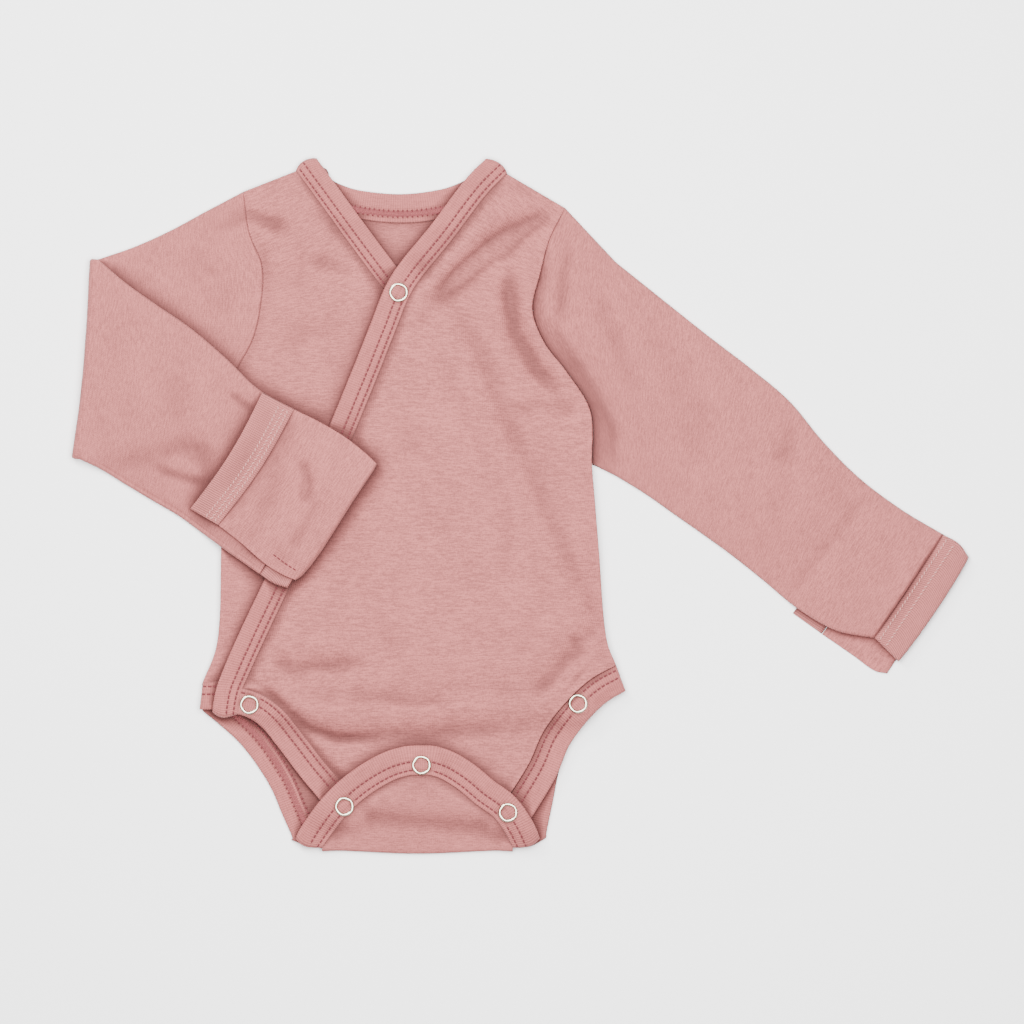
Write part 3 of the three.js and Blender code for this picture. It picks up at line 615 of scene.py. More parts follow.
@dataclass(frozen=True)
class MetalFinish:
    """Polished nickel with fine wear.

    Args:
        name: the material's name.
        colour: its screen colour.
        roughness: how dull it is.
    """

    name: str
    colour: tuple[float, float, float]
    roughness: float

    def material(self) -> bpy.types.Material:
        """Makes the material.

        Returns:
            The material.
        """
        graph = Graph(self.name)
        place = graph.node("ShaderNodeTexCoord", None, None, "Object")
        wear = graph.noise(place, (900.0, 900.0, 900.0), 3.0)
        dents = graph.noise(place, (350.0, 350.0, 350.0), 1.0)
        bump = graph.node(
            "ShaderNodeBump", None, {"Strength": 0.25, "Distance": 0.1 * MM, "Height": dents + wear * 0.3}
        )
        return graph.finish(
            {
                "Base Color": graph.blend(0.5 + wear * 1.2, linear(self.colour, 0.8), linear(self.colour, 1.0)),
                "Metallic": 1.0,
                "Roughness": self.roughness + wear * 0.25,
                "Normal": bump,
            }
        )


JERSEY = KnitFinish("jersey", (149, 85, 82), 0.95, 1.2, 0.10, 0.05, 2.6)
BINDING_RIB = KnitFinish("binding_rib", (149, 84, 81), 1.15, 0.9, 0.2, 0.24, 1.1)
CUFF_RIB = KnitFinish("cuff_rib", (150, 87, 84), 1.05, 0.9, 0.26, 0.5, 1.0)
LOOP_THREAD = ThreadFinish("loop_thread", (124, 62, 64))
ROSE_THREAD = ThreadFinish("rose_thread", (98, 42, 47))
PALE_THREAD = ThreadFinish("pale_thread", (186, 128, 123))
NICKEL = MetalFinish("nickel", (192, 184, 164), 0.2)


def grid_of(table: Table) -> np.ndarray:
    """A table as an array of sections, sides and coordinates."""
    return np.array(table, float).reshape(len(table), 2, 2)


def smooth_line(points: np.ndarray, steps: Sequence[int]) -> np.ndarray:
    """A centripetal Catmull-Rom curve through points.

    Args:
        points: the points, one a row.
        steps: how many steps each span has.

    Returns:
        The curve's points, the given ones among them.
    """
    ends = [2 * points[0] - points[1], *points, 2 * points[-1] - points[-2]]
    line = []
    for k, count in enumerate(steps):
        p0, p1, p2, p3 = ends[k : k + 4]
        d0, d1, d2 = (max(np.linalg.norm(b - a) ** 0.5, 1e-4) for a, b in ((p0, p1), (p1, p2), (p2, p3)))
        t1 = ((p1 - p0) / d0 - (p2 - p0) / (d0 + d1) + (p2 - p1) / d1) * d1
        t2 = ((p2 - p1) / d1 - (p3 - p1) / (d1 + d2) + (p3 - p2) / d2) * d1
        for t in np.arange(count) / count:
            cubic = (2 * p1 - 2 * p2 + t1 + t2) * t**3 + (-3 * p1 + 3 * p2 - 2 * t1 - t2) * t**2
            line.append(cubic + t1 * t + p1)
    line.append(points[-1])
    return np.array(line)


def steps_for(table: Table, pitch: float) -> list[int]:
    """Steps of each span of a table, for rows about a pitch apart.

    Args:
        table: the sections.
        pitch: distance from row to row.

    Returns:
        The number of steps of each span.
    """
    sections = grid_of(table)
    spans = np.linalg.norm(np.diff(sections, axis=0), axis=2).max(axis=1)
    return [max(1, int(np.ceil(span / pitch))) for span in spans]


def ruled(table: Table, pitch: float, shares: np.ndarray) -> np.ndarray:
    """A panel's plan: smooth edges through the table's rows, straight across.

    Args:
        table: the sections.
        pitch: distance from row to row.
        shares: places of the columns, from 0 to 1.

    Returns:
        Plan points by row and column.
    """
    steps = steps_for(table, pitch)
    sections = grid_of(table)
    left = smooth_line(sections[:, 0], steps)
    right = smooth_line(sections[:, 1], steps)
    return left[:, None] + (right - left)[:, None] * shares[None, :, None]


def shares_for(width: float, pitch: float, edge: Sequence[float] = (0.12, 0.4, 0.9)) -> np.ndarray:
    """Column places: even inside, and close together at the rounded edges.

    Args:
        width: the panel's width.
        pitch: distance from column to column.
        edge: distances of the close columns from each edge.

    Returns:
        Places from 0 to 1.
    """
    near = np.array(edge) / width
    inside = np.linspace(0, 1, int(np.ceil(width / pitch)) + 1)
    inside = inside[(inside > near[-1] * 1.6) & (inside < 1 - near[-1] * 1.6)]
    return np.concatenate([[0], near, inside, 1 - near[::-1], [1]])


def arc(line: np.ndarray) -> np.ndarray:
    """Distance along a line at each of its points."""
    return np.concatenate([[0], np.cumsum(np.linalg.norm(np.diff(line, axis=0), axis=1))])


def along_line(line: np.ndarray, distances: np.ndarray) -> np.ndarray:
    """Points of a line at given distances along it.

    Args:
        line: its points.
        distances: how far along each wanted point is.

    Returns:
        The points.
    """
    length = arc(line)
    return np.stack([np.interp(distances, length, line[:, k]) for k in range(line.shape[1])], axis=-1)


def outward(line: np.ndarray) -> np.ndarray:
    """Unit vectors to the right of a plan line's direction."""
    ahead = np.gradient(line[:, :2], axis=0)
    ahead /= np.linalg.norm(ahead, axis=1, keepdims=True)
    return np.stack([ahead[:, 1], -ahead[:, 0]], axis=1)


def ease(value: np.ndarray) -> np.ndarray:
    """Smooth step from 0 to 1."""
    t = np.clip(value, 0, 1)
    return t * t * (3 - 2 * t)


def edge_distance(plan: np.ndarray) -> tuple[np.ndarray, np.ndarray, np.ndarray, np.ndarray]:
    """Distances from the four edges of a plan, in millimetres.

    Args:
        plan: points by row and column.

    Returns:
        Distances from the left, right, first and last edges.
    """
    flat = plan[..., :2]
    across = np.cumsum(np.linalg.norm(np.diff(flat, axis=1), axis=2), axis=1)
    left = np.concatenate([np.zeros((len(flat), 1)), across], axis=1)
    down = np.cumsum(np.linalg.norm(np.diff(flat, axis=0), axis=2), axis=0)
    first = np.concatenate([np.zeros((1, flat.shape[1])), down], axis=0)
    return left, left[:, -1:] - left, first, first[-1:] - first


def rounding(distance: np.ndarray, radius: float) -> np.ndarray:
    """Share of full thickness near a rounded edge.

    Args:
        distance: distance from the edge.
        radius: half the thickness.

    Returns:
        From a little above 0 at the edge to 1 inside.
    """
    inside = np.clip(distance / radius, 0, 1)
    return np.maximum(np.sqrt(1 - (1 - inside) ** 2), 0.12)


def undulation(x: np.ndarray, y: np.ndarray, seed: int) -> np.ndarray:
    """Gentle unevenness of laid cloth, in millimetres.

    Args:
        x: the points' x.
        y: the points' y.
        seed: which pattern.

    Returns:
        Height about 0.
    """
    rng = np.random.default_rng(seed)
    height = np.zeros(x.shape)
    for wave in (70.0, 48.0, 34.0, 24.0, 17.0):
        angle = rng.uniform(0, np.pi)
        phase = rng.uniform(0, 2 * np.pi)
        bend = rng.uniform(0, 2 * np.pi)
        way = x * np.cos(angle) + y * np.sin(angle)
        side = y * np.cos(angle) - x * np.sin(angle)
        height += wave / 70.0 * np.sin(way * 2 * np.pi / wave + phase + 1.3 * np.sin(side / wave * 2.2 + bend))
    return 0.2 * height


class Pile:
    """How high the cloth lies at each spot of the table."""

    PITCH = 0.5
    HALF = np.array([240.0, 190.0])

    def __init__(self) -> None:
        """Starts with a bare table."""
        columns, rows = (2 * self.HALF / self.PITCH).astype(int) + 1
        self.heights = np.zeros((rows, columns))

    def press(self, top: np.ndarray) -> None:
        """Records the top of a laid piece.

        Args:
            top: its points by row and column.
        """
        a, b, c, d = top[:-1, :-1], top[:-1, 1:], top[1:, :-1], top[1:, 1:]
        longest = max(np.linalg.norm((q - p)[..., :2], axis=-1).max() for p, q in ((a, b), (a, c), (b, d)))
        shares = np.linspace(0, 1, int(np.ceil(longest / (0.7 * self.PITCH))) + 1)
        for s in shares:
            start = a + (c - a) * s
            end = b + (d - b) * s
            for t in shares:
                self._mark((start + (end - start) * t).reshape(-1, 3))

    def _mark(self, points: np.ndarray) -> None:
        """Raises the map to each of the points."""
        cells = np.rint((points[:, :2] + self.HALF) / self.PITCH).astype(int)
        np.maximum.at(self.heights, (cells[:, 1], cells[:, 0]), points[:, 2])

    @staticmethod
    def _grown(heights: np.ndarray, cells: int) -> np.ndarray:
        """Highest value within so many cells."""
        for axis in (0, 1):
            shifted = [np.roll(heights, k, axis) for k in range(-cells, cells + 1)]
            heights = np.maximum.reduce(shifted)
        return heights

    @staticmethod
    def _blurred(heights: np.ndarray, cells: float) -> np.ndarray:
        """Gaussian blur with that width in cells."""
        reach = int(np.ceil(2.5 * cells))
        offsets = np.arange(-reach, reach + 1)
        weights = np.exp(-0.5 * (offsets / cells) ** 2)
        weights /= weights.sum()
        for axis in (0, 1):
            heights = sum(w * np.roll(heights, k, axis) for k, w in zip(offsets, weights))
        return heights

    def levels(self, reach: float, softness: float) -> Levels:
        """The level at which cloth would lie on the pile.

        Args:
            reach: how far the cloth bridges beyond an edge below it.
            softness: how softly it comes down from there.

        Returns:
            The levels.
        """
        base = np.where(self.heights > 0, self.heights + GAP, 0.0)
        bridged = self._blurred(self._grown(base, int(reach / self.PITCH)), softness / self.PITCH)
        return Levels(np.maximum(bridged, self._grown(base, 2)))

    def softened(self, softness: float) -> Levels:
        """The pile's top, softened by a number of millimetres."""
        return Levels(self._blurred(self.heights, softness / self.PITCH))

    def top(self, x: float, y: float, radius: float) -> float:
        """Highest cloth within a radius of a point."""
        spot = Levels(self._grown(self.heights, int(round(radius / self.PITCH))))
        return float(spot.at(np.array([[x, y]]))[0])


class Levels:
    """A height map that is read between its cells."""

    def __init__(self, heights: np.ndarray) -> None:
        """Keeps the map.

        Args:
            heights: the map, by row and column.
        """
        self.heights = heights

    def at(self, points: np.ndarray) -> np.ndarray:
        """Heights at plan points.

        Args:
            points: an array whose last axis is x and y.

        Returns:
            The heights.
        """
        place = (points[..., :2] + Pile.HALF) / Pile.PITCH
        column = np.clip(np.floor(place[..., 0]).astype(int), 0, self.heights.shape[1] - 2)
        row = np.clip(np.floor(place[..., 1]).astype(int), 0, self.heights.shape[0] - 2)
        s, t = place[..., 0] - column, place[..., 1] - row
        low = self.heights[row, column] * (1 - s) + self.heights[row, column + 1] * s
        high = self.heights[row + 1, column] * (1 - s) + self.heights[row + 1, column + 1] * s
        return low * (1 - t) + high * t


def with_height(plan: np.ndarray, height: np.ndarray) -> np.ndarray:
    """Plan points with their heights."""
    return np.concatenate([plan[..., :2], height[..., None]], axis=-1)


def make_object(name: str, points: np.ndarray, faces: np.ndarray, cloth: np.ndarray) -> bpy.types.Object:
    """A smooth mesh object of quads, in metres, with its faces outward.

    Args:
        name: the object's name.
        points: its vertices in millimetres.
        faces: four vertex numbers a row.
        cloth: millimetres across and along the cloth at each vertex.

    Returns:
        The object.
    """
    a, b, c, d = (points[faces[:, k]] for k in range(4))
    volume = (a * np.cross(b, c)).sum() + (a * np.cross(c, d)).sum()
    if volume < 0:
        faces = faces[:, ::-1]
    mesh = bpy.data.meshes.new(name)
    mesh.vertices.add(len(points))
    mesh.vertices.foreach_set("co", (points * MM).astype(np.float32).ravel())
    mesh.loops.add(faces.size)
    mesh.loops.foreach_set("vertex_index", faces.astype(np.int32).ravel())
    mesh.polygons.add(len(faces))
    mesh.polygons.foreach_set("loop_start", np.arange(0, faces.size, 4, dtype=np.int32))
    mesh.update(calc_edges=True)
    mesh.shade_smooth()
    attribute = mesh.attributes.new("cloth", "FLOAT_VECTOR", "POINT")
    attribute.data.foreach_set("vector", cloth.astype(np.float32).ravel())
    made = bpy.data.objects.new(name, mesh)
    bpy.context.scene.collection.objects.link(made)
    return made


def paint_seam_shadow(piece: bpy.types.Object, depth: np.ndarray) -> None:
    """Paints the shadow of a sewn line's groove: how much painted shade each grid point of a wall gets.

    Args:
        piece: the wall.
        depth: the painted shade at each of its grid points, from 0 to 1.
    """
    attribute = piece.data.attributes.new("seam", "FLOAT", "POINT")
    attribute.data.foreach_set("value", np.concatenate([depth.ravel()] * 2).astype(np.float32))


def wall(name: str, over: np.ndarray, under: np.ndarray, cloth: np.ndarray) -> bpy.types.Object:
    """A closed wall between two grids of points.

    Args:
        name: the object's name.
        over: the top's points.
        under: the underside's points.
        cloth: millimetres across and along the cloth at each grid point.

    Returns:
        The object.
    """
    rows, columns = over.shape[:2]
    number = np.arange(rows * columns).reshape(rows, columns)
    a, b, c, d = number[:-1, :-1], number[1:, :-1], number[1:, 1:], number[:-1, 1:]
    top = np.stack([a, b, c, d], axis=-1).reshape(-1, 4)
    rim = np.concatenate([number[:-1, 0], number[-1, :-1], number[:0:-1, -1], number[0, :0:-1]])
    ahead = np.roll(rim, -1)
    total = rows * columns
    sides = np.stack([ahead, rim, rim + total, ahead + total], axis=-1)
    faces = np.concatenate([top, top[:, ::-1] + total, sides])
    points = np.concatenate([over.reshape(-1, 3), under.reshape(-1, 3)])
    return make_object(name, points, faces, np.concatenate([cloth.reshape(-1, 3)] * 2))


def tube(name: str, outer: np.ndarray, inner: np.ndarray, cloth: np.ndarray) -> bpy.types.Object:
    """A tube's wall between outer and inner rings, open at both ends.

    Args:
        name: the object's name.
        outer: outer points by ring and place round it.
        inner: inner points.
        cloth: millimetres across and along the cloth at each point.

    Returns:
        The object.
    """
    rings, around = outer.shape[:2]
    number = np.arange(rings * around).reshape(rings, around)
    beside = np.roll(number, -1, axis=1)
    skin = np.stack([number[:-1], beside[:-1], beside[1:], number[1:]], axis=-1).reshape(-1, 4)
    total = rings * around
    first = np.stack([beside[0], number[0], number[0] + total, beside[0] + total], axis=-1)
    last = np.stack([number[-1], beside[-1], beside[-1] + total, number[-1] + total], axis=-1)
    faces = np.concatenate([skin, skin[:, ::-1] + total, first, last])
    points = np.concatenate([outer.reshape(-1, 3), inner.reshape(-1, 3)])
    return make_object(name, points, faces, np.concatenate([cloth.reshape(-1, 3)] * 2))


def threads(name: str, paths: np.ndarray, radius: float) -> bpy.types.Object:
    """Round threads along paths, as one mesh.

    Args:
        name: the object's name.
        paths: points by thread and place along it.
        radius: the thread's radius.

    Returns:
        The object.
    """
    sides = 6
    count, places = paths.shape[:2]
    ahead = np.gradient(paths, axis=1)
    ahead /= np.linalg.norm(ahead, axis=2, keepdims=True)
    side = np.cross(ahead, np.array([0.0, 0.0, 1.0]))
    side /= np.linalg.norm(side, axis=2, keepdims=True)
    up = np.cross(side, ahead)
    width = np.full(places, radius)
    width[[0, -1]] = 0.45 * radius
    angle = np.arange(sides) * 2 * np.pi / sides
    ring = side[:, :, None] * np.cos(angle)[:, None] + up[:, :, None] * np.sin(angle)[:, None]
    points = paths[:, :, None] + ring * width[None, :, None, None]
    number = np.arange(count * places * sides).reshape(count, places, sides)
    beside = np.roll(number, -1, axis=2)
    skin = np.stack([number[:, :-1], beside[:, :-1], beside[:, 1:], number[:, 1:]], axis=-1).reshape(-1, 4)
    caps = []
    for k, order in ((0, 1), (places - 1, -1)):
        for corners in ((0, 1, 2, 3), (0, 3, 4, 5)):
            caps.append(number[:, k, list(corners)[::-order]])
    distance = np.linalg.norm(np.diff(paths, axis=1), axis=2).cumsum(axis=1)
    distance = np.concatenate([np.zeros((count, 1)), distance], axis=1)
    cloth = np.zeros(points.shape)
    cloth[..., 0] = distance[:, :, None]
    cloth[..., 1] = (np.arange(sides) / sides)[None, None]
    cloth[..., 2] = np.arange(count)[:, None, None] * 3.7
    return make_object(name, points.reshape(-1, 3), np.concatenate([skin, *caps]), cloth.reshape(-1, 3))


def stitch_row(line: np.ndarray, pitch: float, length: float, proud: float, bare: float = 0.0) -> np.ndarray:
    """Separate stitches along a line on the cloth.

    Args:
        line: the line's points on the cloth.
        pitch: distance from stitch to stitch.
        length: a stitch's length.
        proud: how far its middle stands above the cloth.
        bare: distance without stitches at the line's start.

    Returns:
        Points by stitch and place along it.
    """
    count = int((arc(line)[-1] - bare) / pitch)
    centres = bare + (np.arange(count) + 0.5) * pitch
    offsets = np.array([-0.5, -0.36, -0.12, 0.12, 0.36, 0.5]) * length
    dive = np.array([-0.3, 0.45, 1.0, 1.0, 0.45, -0.3]) * proud
    points = along_line(line, (centres[:, None] + offsets).ravel()).reshape(count, len(offsets), 3)
    points[..., 2] += dive
    return points


def clear_of_snaps(stitches: np.ndarray) -> np.ndarray:
    """Leaves out the stitches that a snap's ring covers."""
    middle = stitches[:, stitches.shape[1] // 2, :2]
    keep = np.ones(len(stitches), bool)
    for centre in SNAPS.values():
        away = np.linalg.norm(middle - np.array(centre), axis=1)
        keep &= away > SNAP_OUTER + 0.9
    return stitches[keep]


def paint_hollow_shade(pile: Pile) -> None:
    """Paints shade into the cloth: marks how much painted shade each upward-facing spot gets from how far it lies below
    the cloth around it.

    Args:
        pile: the finished pile.
    """
    scales = [(pile.softened(softness), full) for softness, full in PAINTED_SHADE_SCALES]
    for piece in bpy.context.scene.objects:
        if piece.type != "MESH" or "cloth" not in piece.data.attributes:
            continue
        count = len(piece.data.vertices)
        points = np.empty(count * 3, np.float32)
        piece.data.vertices.foreach_get("co", points)
        points = points.reshape(-1, 3).astype(float) / MM
        upward = np.empty(count * 3, np.float32)
        piece.data.vertex_normals.foreach_get("vector", upward)
        facing = np.clip(upward.reshape(-1, 3)[:, 2] * 2.5, 0, 1)
        depth = sum(np.clip((levels.at(points) - points[:, 2]) / full, 0, 1) for levels, full in scales)
        # The painted shadow of sewn grooves adds to the painted shade.
        if "seam" in piece.data.attributes:
            seam = np.empty(count, np.float32)
            piece.data.attributes["seam"].data.foreach_get("value", seam)
            depth = depth + seam
        attribute = piece.data.attributes.new("hollow", "FLOAT", "POINT")
        # The stored value is the painted shade that darkens the knit's base colour.
        attribute.data.foreach_set("value", ((1 - np.exp(-PAINTED_SHADE_RATE * depth)) * facing).astype(np.float32))


@dataclass(frozen=True)
class Cut:
    """The flat size that a sheet was cut to, in millimetres.

    Args:
        width: its width, which is not used.
        length: its length, which is not used.
        fill: the share of that rectangle that the cut fills, which is not used.
        held: how it lies, which is not used.
    """

    width: float
    length: float
    fill: float = 1.0
    held: Held = Held.LAID


@dataclass
class Workshop:
    """What every sub-assembly shares: the pile and the finishes.

    Args:
        pile: how high the cloth lies.
    """

    pile: Pile = field(default_factory=Pile)
    finishes: dict[str, bpy.types.Material] = field(default_factory=dict)

    def paint(self, finish: KnitFinish | ThreadFinish | MetalFinish) -> bpy.types.Material:
        """The material of a finish, made once."""
        if finish.name not in self.finishes:
            self.finishes[finish.name] = finish.material()
        return self.finishes[finish.name]

    def dress(
        self,
        piece: bpy.types.Object,
        finish: KnitFinish | ThreadFinish | MetalFinish,
        nodes: Sequence[str] = (),
    ) -> bpy.types.Object:
        """Gives a piece its material and body, and hides the nodes that it stands for.

        Args:
            piece: the object.
            finish: its finish.
            nodes: CAD nodes that it replaces.

        Returns:
            The piece.
        """
        piece.data.materials.append(self.paint(finish))
        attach(piece, "root")
        if nodes:
            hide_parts(*nodes)
        LOG.info("%s: %d faces", piece.name, len(piece.data.polygons))
        return piece


def plan_cloth(plan: np.ndarray, turned: bool = False) -> np.ndarray:
    """Millimetres across and along the cloth for a plan that lies as it was knitted.

    Args:
        plan: plan points.
        turned: the ribs run across the strip's length.

    Returns:
        The coordinates, with a third one that sets pieces apart.
    """
    left, right, first, _ = edge_distance(plan)
    middle = plan.shape[1] // 2
    across = left - (left + right)[:, :1] / 2
    along = np.repeat(first[:, middle : middle + 1], plan.shape[1], axis=1)
    if turned:
        across, along = along, across
    return np.stack([across, along, np.full(across.shape, plan[0, 0, 0])], axis=-1)


@dataclass
class Panel:
    """A jersey panel, laid as one wall.

    Args:
        node: the CAD node that it replaces.
        table: its sections.
        creases: the folds that lie in it.
        puff: how far it stands off what is below it.
        cut: its flat size, which is not used.
        seed: its own unevenness.
        tucked: whether its left, right and last edges go into bindings.
        pins: how firmly its left, right, first and last edges are sewn down.
        waviness: strength of its unevenness.
        pitch: distance from point to point.
        turned_end: whether its last edge goes on round a fold.
    """

    node: str
    table: Table
    creases: tuple[Crease, ...]
    puff: float
    cut: Cut
    seed: int
    tucked: tuple[bool, bool, bool] = (False, False, False)
    pins: tuple[float, float, float, float] = (1.0, 1.0, 1.0, 1.0)
    waviness: float = 1.0
    pitch: float = 1.7
    turned_end: bool = False

    def plan(self) -> np.ndarray:
        """The panel's plan, from its table."""
        sections = grid_of(self.table)
        width = float(np.linalg.norm(sections[:, 1] - sections[:, 0], axis=1).max())
        return ruled(self.table, self.pitch, shares_for(width, self.pitch))

    def tuck_in(self, plan: np.ndarray) -> np.ndarray:
        """Adds the hidden margin that lies inside the bindings."""
        left, right, last = self.tucked
        if left:
            side = plan[:, 0] - plan[:, 3]
            side /= np.linalg.norm(side, axis=1, keepdims=True)
            plan = np.concatenate([(plan[:, 0] + TUCK * side)[:, None], plan], axis=1)
        if right:
            side = plan[:, -1] - plan[:, -4]
            side /= np.linalg.norm(side, axis=1, keepdims=True)
            plan = np.concatenate([plan, (plan[:, -1] + TUCK * side)[:, None]], axis=1)
        if last:
            side = plan[-1] - plan[-3]
            side /= np.linalg.norm(side, axis=1, keepdims=True)
            plan = np.concatenate([plan, (plan[-1] + TUCK * side)[None]], axis=0)
        return plan

    def pin(self, plan: np.ndarray) -> np.ndarray:
        """How freely the cloth may rise, from 0 at a sewn edge to 1."""
        free = np.ones(plan.shape[:2])
        for strength, distance in zip(self.pins, edge_distance(plan)):
            free *= 1 - strength * np.exp(-((distance / 6.0) ** 2))
        return free

    def rise(self, plan: np.ndarray) -> np.ndarray:
        """Height of the panel above what it lies on."""
        x, y = plan[..., 0], plan[..., 1]
        height = self.puff + sum((crease.height(x, y) for crease in self.creases), np.zeros(x.shape))
        height += self.waviness * undulation(x, y, self.seed)
        return np.maximum(height, 0) * self.pin(plan)

    def surfaces(self, plan: np.ndarray, levels: Levels) -> tuple[np.ndarray, np.ndarray]:
        """The laid panel's top and underside.

        Args:
            plan: its plan.
            levels: what it lies on.

        Returns:
            The two grids of points.
        """
        left, right, first, last = edge_distance(plan)
        if self.turned_end:
            last = last + CLOTH
        nearest = np.minimum(np.minimum(left, right), np.minimum(first, last))
        half = 0.5 * CLOTH * rounding(nearest, 0.5 * CLOTH)
        middle = levels.at(plan) + 0.5 * CLOTH + self.rise(plan)
        return with_height(plan, middle + half), with_height(plan, middle - half)


@dataclass
class Binding:
    """A folded rib strip sewn over a panel's edge with two rows of stitches.

    Args:
        node: the CAD node that it replaces.
        widths: its width at the start and at the end.
        start: direction of the cut at its start, or None for square.
        end: direction of the cut at its end.
        cut: its flat size, which is not used.
        loops: where the looper's rows lie where its inner side shows, in millimetres from the seam.
        crowns: how far it bulges at its start and at its end.
        corners: how far its free corners are rounded back at its start and end.
        lift: how far its free edge stands off what it lies on.
        bare: distance without stitches at its start.
    """

    node: str
    widths: tuple[float, float]
    start: tuple[float, float] | None
    end: tuple[float, float] | None
    cut: Cut
    loops: tuple[float, float] | None = None
    crowns: tuple[float, float] = (0.0, 0.0)
    corners: tuple[float, float] = (0.0, 0.0)
    lift: float = 0.7
    bare: float = 0.0

    ROWS = (0.17, 0.45)
    LIP = (0.0, 0.12, 0.3, 0.6, 1.1, 1.7, 2.3, 3.0)
    FREE = (1.3, 0.7, 0.3, 0.08, 0.0)
    INNER_COLUMNS = 12
    STRANDS = ((0.0, 0.0, 1.0), (np.pi, 0.0, 1.0), (0.5 * np.pi, 0.1, 0.45), (1.5 * np.pi, 0.45, 0.45))

    def plan(self, edge: np.ndarray) -> tuple[np.ndarray, np.ndarray]:
        """The strip's plan along an edge, with the binding on the right of its direction.

        Args:
            edge: the seam's points.

        Returns:
            The plan and each column's distance from the seam.
        """
        length = arc(edge)
        even = along_line(edge, np.linspace(0, length[-1], int(length[-1] / 1.1) + 2))
        out = outward(even)
        share = np.linspace(0, 1, len(even))
        for direction, weight in ((self.start, (1 - share * 6).clip(0)), (self.end, (share * 6 - 5).clip(0))):
            if direction is not None:
                unit = np.array(direction) / np.linalg.norm(direction)
                out += (unit - out) * (weight**2)[:, None]
        out /= np.linalg.norm(out, axis=1, keepdims=True)
        widths = GAP + np.interp(share, (0, 1), self.widths)
        middle = np.linspace(0, 1, self.INNER_COLUMNS + 2)[1:-1]
        columns = [np.full(len(even), value) for value in self.LIP]
        columns += [self.LIP[-1] + (widths - self.FREE[0] - self.LIP[-1]) * value for value in middle]
        columns += [widths - value for value in self.FREE]
        distance = np.stack(columns, axis=1)
        plan = even[:, None] + out[:, None] * distance[..., None]
        return self.shape_ends(plan, distance), distance

    def shape_ends(self, plan: np.ndarray, distance: np.ndarray) -> np.ndarray:
        """Rounds the strip's ends: out by its crown, and back at its free corner."""
        across = distance / distance[:, -1:]
        bulge = np.sin(np.pi * across) ** 0.7
        round_off = np.clip((across - 0.4) / 0.6, 0, 1) ** 2
        along = arc(plan[:, 0])
        for row, near, corner, crown in zip((0, -1), (along, along[-1] - along), self.corners, self.crowns):
            step = plan[1] - plan[0] if row == 0 else plan[-2] - plan[-1]
            inward = step / np.linalg.norm(step, axis=1, keepdims=True)
            shift = (corner * round_off[row] - crown * bulge[row])[:, None] * inward
            plan = plan + shift[None] * np.exp(-((near / 6.0) ** 2))[:, None, None]
        return plan

    def surfaces(self, plan: np.ndarray, distance: np.ndarray, levels: Levels) -> tuple[np.ndarray, np.ndarray]:
        """The laid strip's top and underside.

        Args:
            plan: its plan.
            distance: each point's distance from the seam.
            levels: what it lies on.

        Returns:
            The two grids of points.
        """
        width = distance[:, -1:]
        over = np.interp(distance, (0, 0.12, 0.3, 0.6, 1.1, 1.7), (1.15, 1.62, 1.9, 2.0, 1.96, RIB))
        over += 0.18 * np.sin(np.pi * np.clip(distance / width, 0, 1)) ** 2
        for row in self.ROWS:
            over -= 0.3 * np.exp(-(((distance - row * width) / 0.6) ** 2))
        under = np.interp(distance, (0, 2.1, 3.2), (1.1, 1.1, 0.0))
        from_free = width - distance
        free = rounding(from_free, 1.0)
        middle = 0.5 * RIB
        near_edge = from_free < 1.0
        over = np.where(near_edge, middle + (over - middle) * free, over)
        under = np.where(near_edge, middle + (under - middle) * free, under)
        for centre in SNAPS.values():
            away = np.linalg.norm(plan - np.array(centre), axis=-1)
            over += 0.3 * np.exp(-((away / 2.0) ** 2)) - 0.3 * np.exp(-(((away - 4.4) / 1.5) ** 2))
        first = arc(plan[:, 0])[:, None]
        ends = np.minimum(first, first[-1] - first)
        squeeze = rounding(ends, 0.5 * RIB)
        over = middle + (over - middle) * squeeze
        under = middle + (under - middle) * squeeze
        level = levels.at(plan) + self.lift * ease((distance / width - 0.3) / 0.7)
        return with_height(plan, level + over), with_height(plan, level + under)

    @staticmethod
    def row_line(plan: np.ndarray, top: np.ndarray, distance: np.ndarray, wanted: np.ndarray) -> np.ndarray:
        """A line along the strip at a distance from its seam, or beyond it where negative.

        Args:
            plan: the strip's plan.
            top: the strip's top.
            distance: each point's distance from the seam.
            wanted: the distance at each row.

        Returns:
            The line's points.
        """
        points = np.array(
            [[np.interp(w, d, row[:, k]) for k in range(3)] for w, d, row in zip(wanted, distance, top)]
        )
        beyond = np.minimum(wanted, 0)[:, None]
        out = plan[:, -1] - plan[:, 0]
        points[:, :2] += beyond * out / np.linalg.norm(out, axis=1, keepdims=True)
        return points

    def build(self, shop: Workshop, edge: np.ndarray, levels: Levels) -> tuple[bpy.types.Object, np.ndarray]:
        """Builds the strip and its stitches.

        Args:
            shop: the shared workshop.
            edge: the seam's points.
            levels: what it lies on.

        Returns:
            The strip and its top.
        """
        plan, distance = self.plan(edge)
        over, under = self.surfaces(plan, distance, levels)
        piece = wall(f"{self.node}_cloth", over, under, plan_cloth(plan, turned=True))
        # Painted shadow along the groove of the seam.
        paint_seam_shadow(piece, np.exp(-((distance / 0.3) ** 2)))
        shop.dress(piece, BINDING_RIB, [self.node])
        trims = []
        if self.loops is None:
            width = distance[:, -1]
            lines = [self.row_line(plan, over, distance, share * width) for share in self.ROWS]
            paths = np.concatenate([clear_of_snaps(stitch_row(line, 2.5, 1.75, 0.16, self.bare)) for line in lines])
            sewn = threads(f"{self.node}_stitches", paths, 0.38)
            trims.append(shop.dress(sewn, ROSE_THREAD))
        else:
            trims += self.looper(shop, plan, over, distance)
        return piece, over

